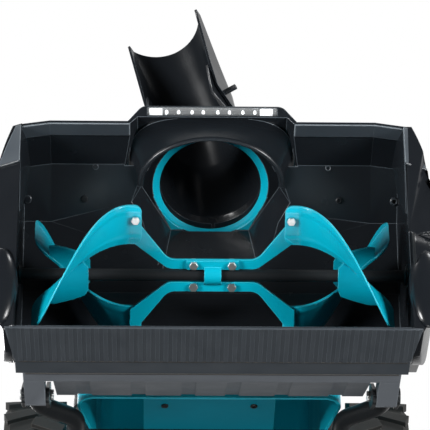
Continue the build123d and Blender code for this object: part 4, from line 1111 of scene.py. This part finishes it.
# Rear of the cowl: screws at its corners and a hatch over the charging port
cowlSet = {
    "screws": ((-120, 110), (120, 110), (-120, 215), (120, 215)),  # across and up, millimetres
    "hatch": (110 * mm, 56 * mm, 3 * mm), "hatchHigh": 160 * mm, "hatchRound": 9 * mm,
    "hatchRim": 5 * mm, "hatchSink": 1.2 * mm,
}


def makeCowlDetails():
    forward = (0, -1, 0)
    spots = [onSurface("rear_cowl", (x * mm, 1, z * mm), forward) for x, z in cowlSet["screws"]]
    placeCopies(makeScrew("cowl"), "cowl_screw", spots, "chassis", "zinc_steel", "blackPowderCoat")
    spot = onSurface("rear_cowl", (0, 1, cowlSet["hatchHigh"]), forward)
    long, tall, thick = cowlSet["hatch"]
    hatch = addBlock((-long / 2, -tall / 2, -slack), (long / 2, tall / 2, thick))
    pickIn(hatch, "EDGE", lambda a, b: abs(a.z - b.z) > slack)
    bevelPicked(cowlSet["hatchRound"], 6)
    pickIn(hatch, "FACE", lambda c, n: n.z > facing)
    bpy.ops.mesh.inset(thickness=cowlSet["hatchRim"])
    extrudePicked((0, 0, -cowlSet["hatchSink"]))
    placeCopies(hatch, "charge_hatch", [spot], "chassis", "housing_plastic", "mouldedAbs")


makeCowlDetails()
print("cowl dressed")


# Swelling on the front of each side cover, and dark rubber strips across the belly that paint the
# shade in the gaps between its plates
swellSet = {"half": (23, 15, 58), "centre": (273.5, 9, 68),  # across, back, up, millimetres
            "flat": 0.6, "angle": 60}
gapShadeSet = {"short": 3 * mm, "wide": 2.2 * mm, "proud": 0.2 * mm, "low": 0.1 * mm, "high": 1.0 * mm,
           "edge": 0.3 * mm}


def makeSwellings():
    wide, deep, tall = (v * mm for v in swellSet["half"])
    x, y, z = swellSet["centre"]
    for side, word in bothSides:
        deselectAll()
        bpy.ops.mesh.primitive_uv_sphere_add(segments=48, ring_count=32, radius=1,
                                             scale=(wide, deep, tall))
        swelling = bpy.context.object
        applyPlace(swelling)
        editAll(swelling)
        bpy.ops.mesh.bisect(plane_co=(0, swellSet["flat"] * deep, 0), plane_no=(0, 1, 0),
                            use_fill=True, clear_outer=True)
        bpy.ops.object.mode_set(mode="OBJECT")
        swelling.location = (side * x * mm, depthAt(y), z * mm)
        settle(swelling, "cover_swelling_" + word, "chassis", "polishedAbs",
               swellSet["angle"])


# Dark strips along the front of the clamp strip and the belly plate: painted shade of the gaps there
def makeGapShadeStrips():
    low, high = gapShadeSet["low"], gapShadeSet["high"]
    for count, node in enumerate(("clamp_strip", "belly_plate")):
        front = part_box(node)[0].y
        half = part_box(node)[1].x - gapShadeSet["short"]
        back = front + gapShadeSet["wide"]
        shadeStrip = addBlock((-half, front - gapShadeSet["proud"], low), (half, back, high))
        pickIn(shadeStrip, "EDGE", lambda a, b: max(a.z, b.z) < low + hair)
        bevelPicked(gapShadeSet["edge"])
        settle(shadeStrip, f"belly_seal_{count + 1}", "chassis", "treadRubber")


# Panel on the upper front of each cover, the ABS painted paler as lit, with a rib along its foot
cornerSet = {  # millimetres; the cover's front leans back as it rises and sweeps back outwards
    "outline": ((255, 322), (262, 322), (272, 297), (284, 262), (255, 262)),
    "front": (4.0, 7.0),   # back and up, where the lean starts
    "inner": 258,          # out, where the sweep starts
    "lean": 6.0 / 320.0, "proud": 1.4, "thick": 1.5, "edge": 0.5 * mm,
    "rib": 1.6, "ribEdge": 0.6, "ribSides": 16, "ribAngle": 60,
}


def onCover(side, x, z):
    back, up = cornerSet["front"]
    y = back + cornerSet["lean"] * (z - up) - cornerSet["proud"]
    y += coverSet["sweep"] * (x - cornerSet["inner"])
    return Vector((side * x * mm, depthAt(y), z * mm))


def makeCornerPanels():
    outline = cornerSet["outline"]
    thick = cornerSet["proud"] * cornerSet["thick"] * mm
    for side, word in bothSides:
        deselectAll()
        bpy.ops.mesh.primitive_circle_add(vertices=len(outline), radius=1, fill_type="NGON")
        panel = bpy.context.object
        for point, (x, z) in zip(panel.data.vertices, outline):
            point.co = onCover(side, x, z)
        panel.data.update()
        bpy.ops.object.mode_set(mode="EDIT")
        bpy.ops.mesh.select_all(action="SELECT")
        if panel.data.polygons[0].normal.y > 0:
            bpy.ops.mesh.flip_normals()
        applyModifier(panel, "SOLIDIFY", thickness=thick, offset=-1)
        applyModifier(panel, "BEVEL", width=cornerSet["edge"], segments=2)
        settle(panel, "corner_panel_" + word, "chassis", "paintedLitAbs")
        near, far = onCover(side, *outline[-1]), onCover(side, *outline[-2])
        rib = addDisc(cornerSet["rib"] * mm, (far - near).length, cornerSet["ribSides"])
        pickIn(rib, "EDGE", lambda a, b: abs(a.z - b.z) < hair)
        bevelPicked(cornerSet["rib"] * cornerSet["ribEdge"] * mm)
        placeCopies(rib, "corner_rib_" + word, [(near, far - near)], "chassis", "housing_plastic",
                    "mouldedAbs", cornerSet["ribAngle"])


makeCornerPanels()
makeSwellings()
makeGapShadeStrips()
print("corner panels, swellings and gap_shade_strips made")
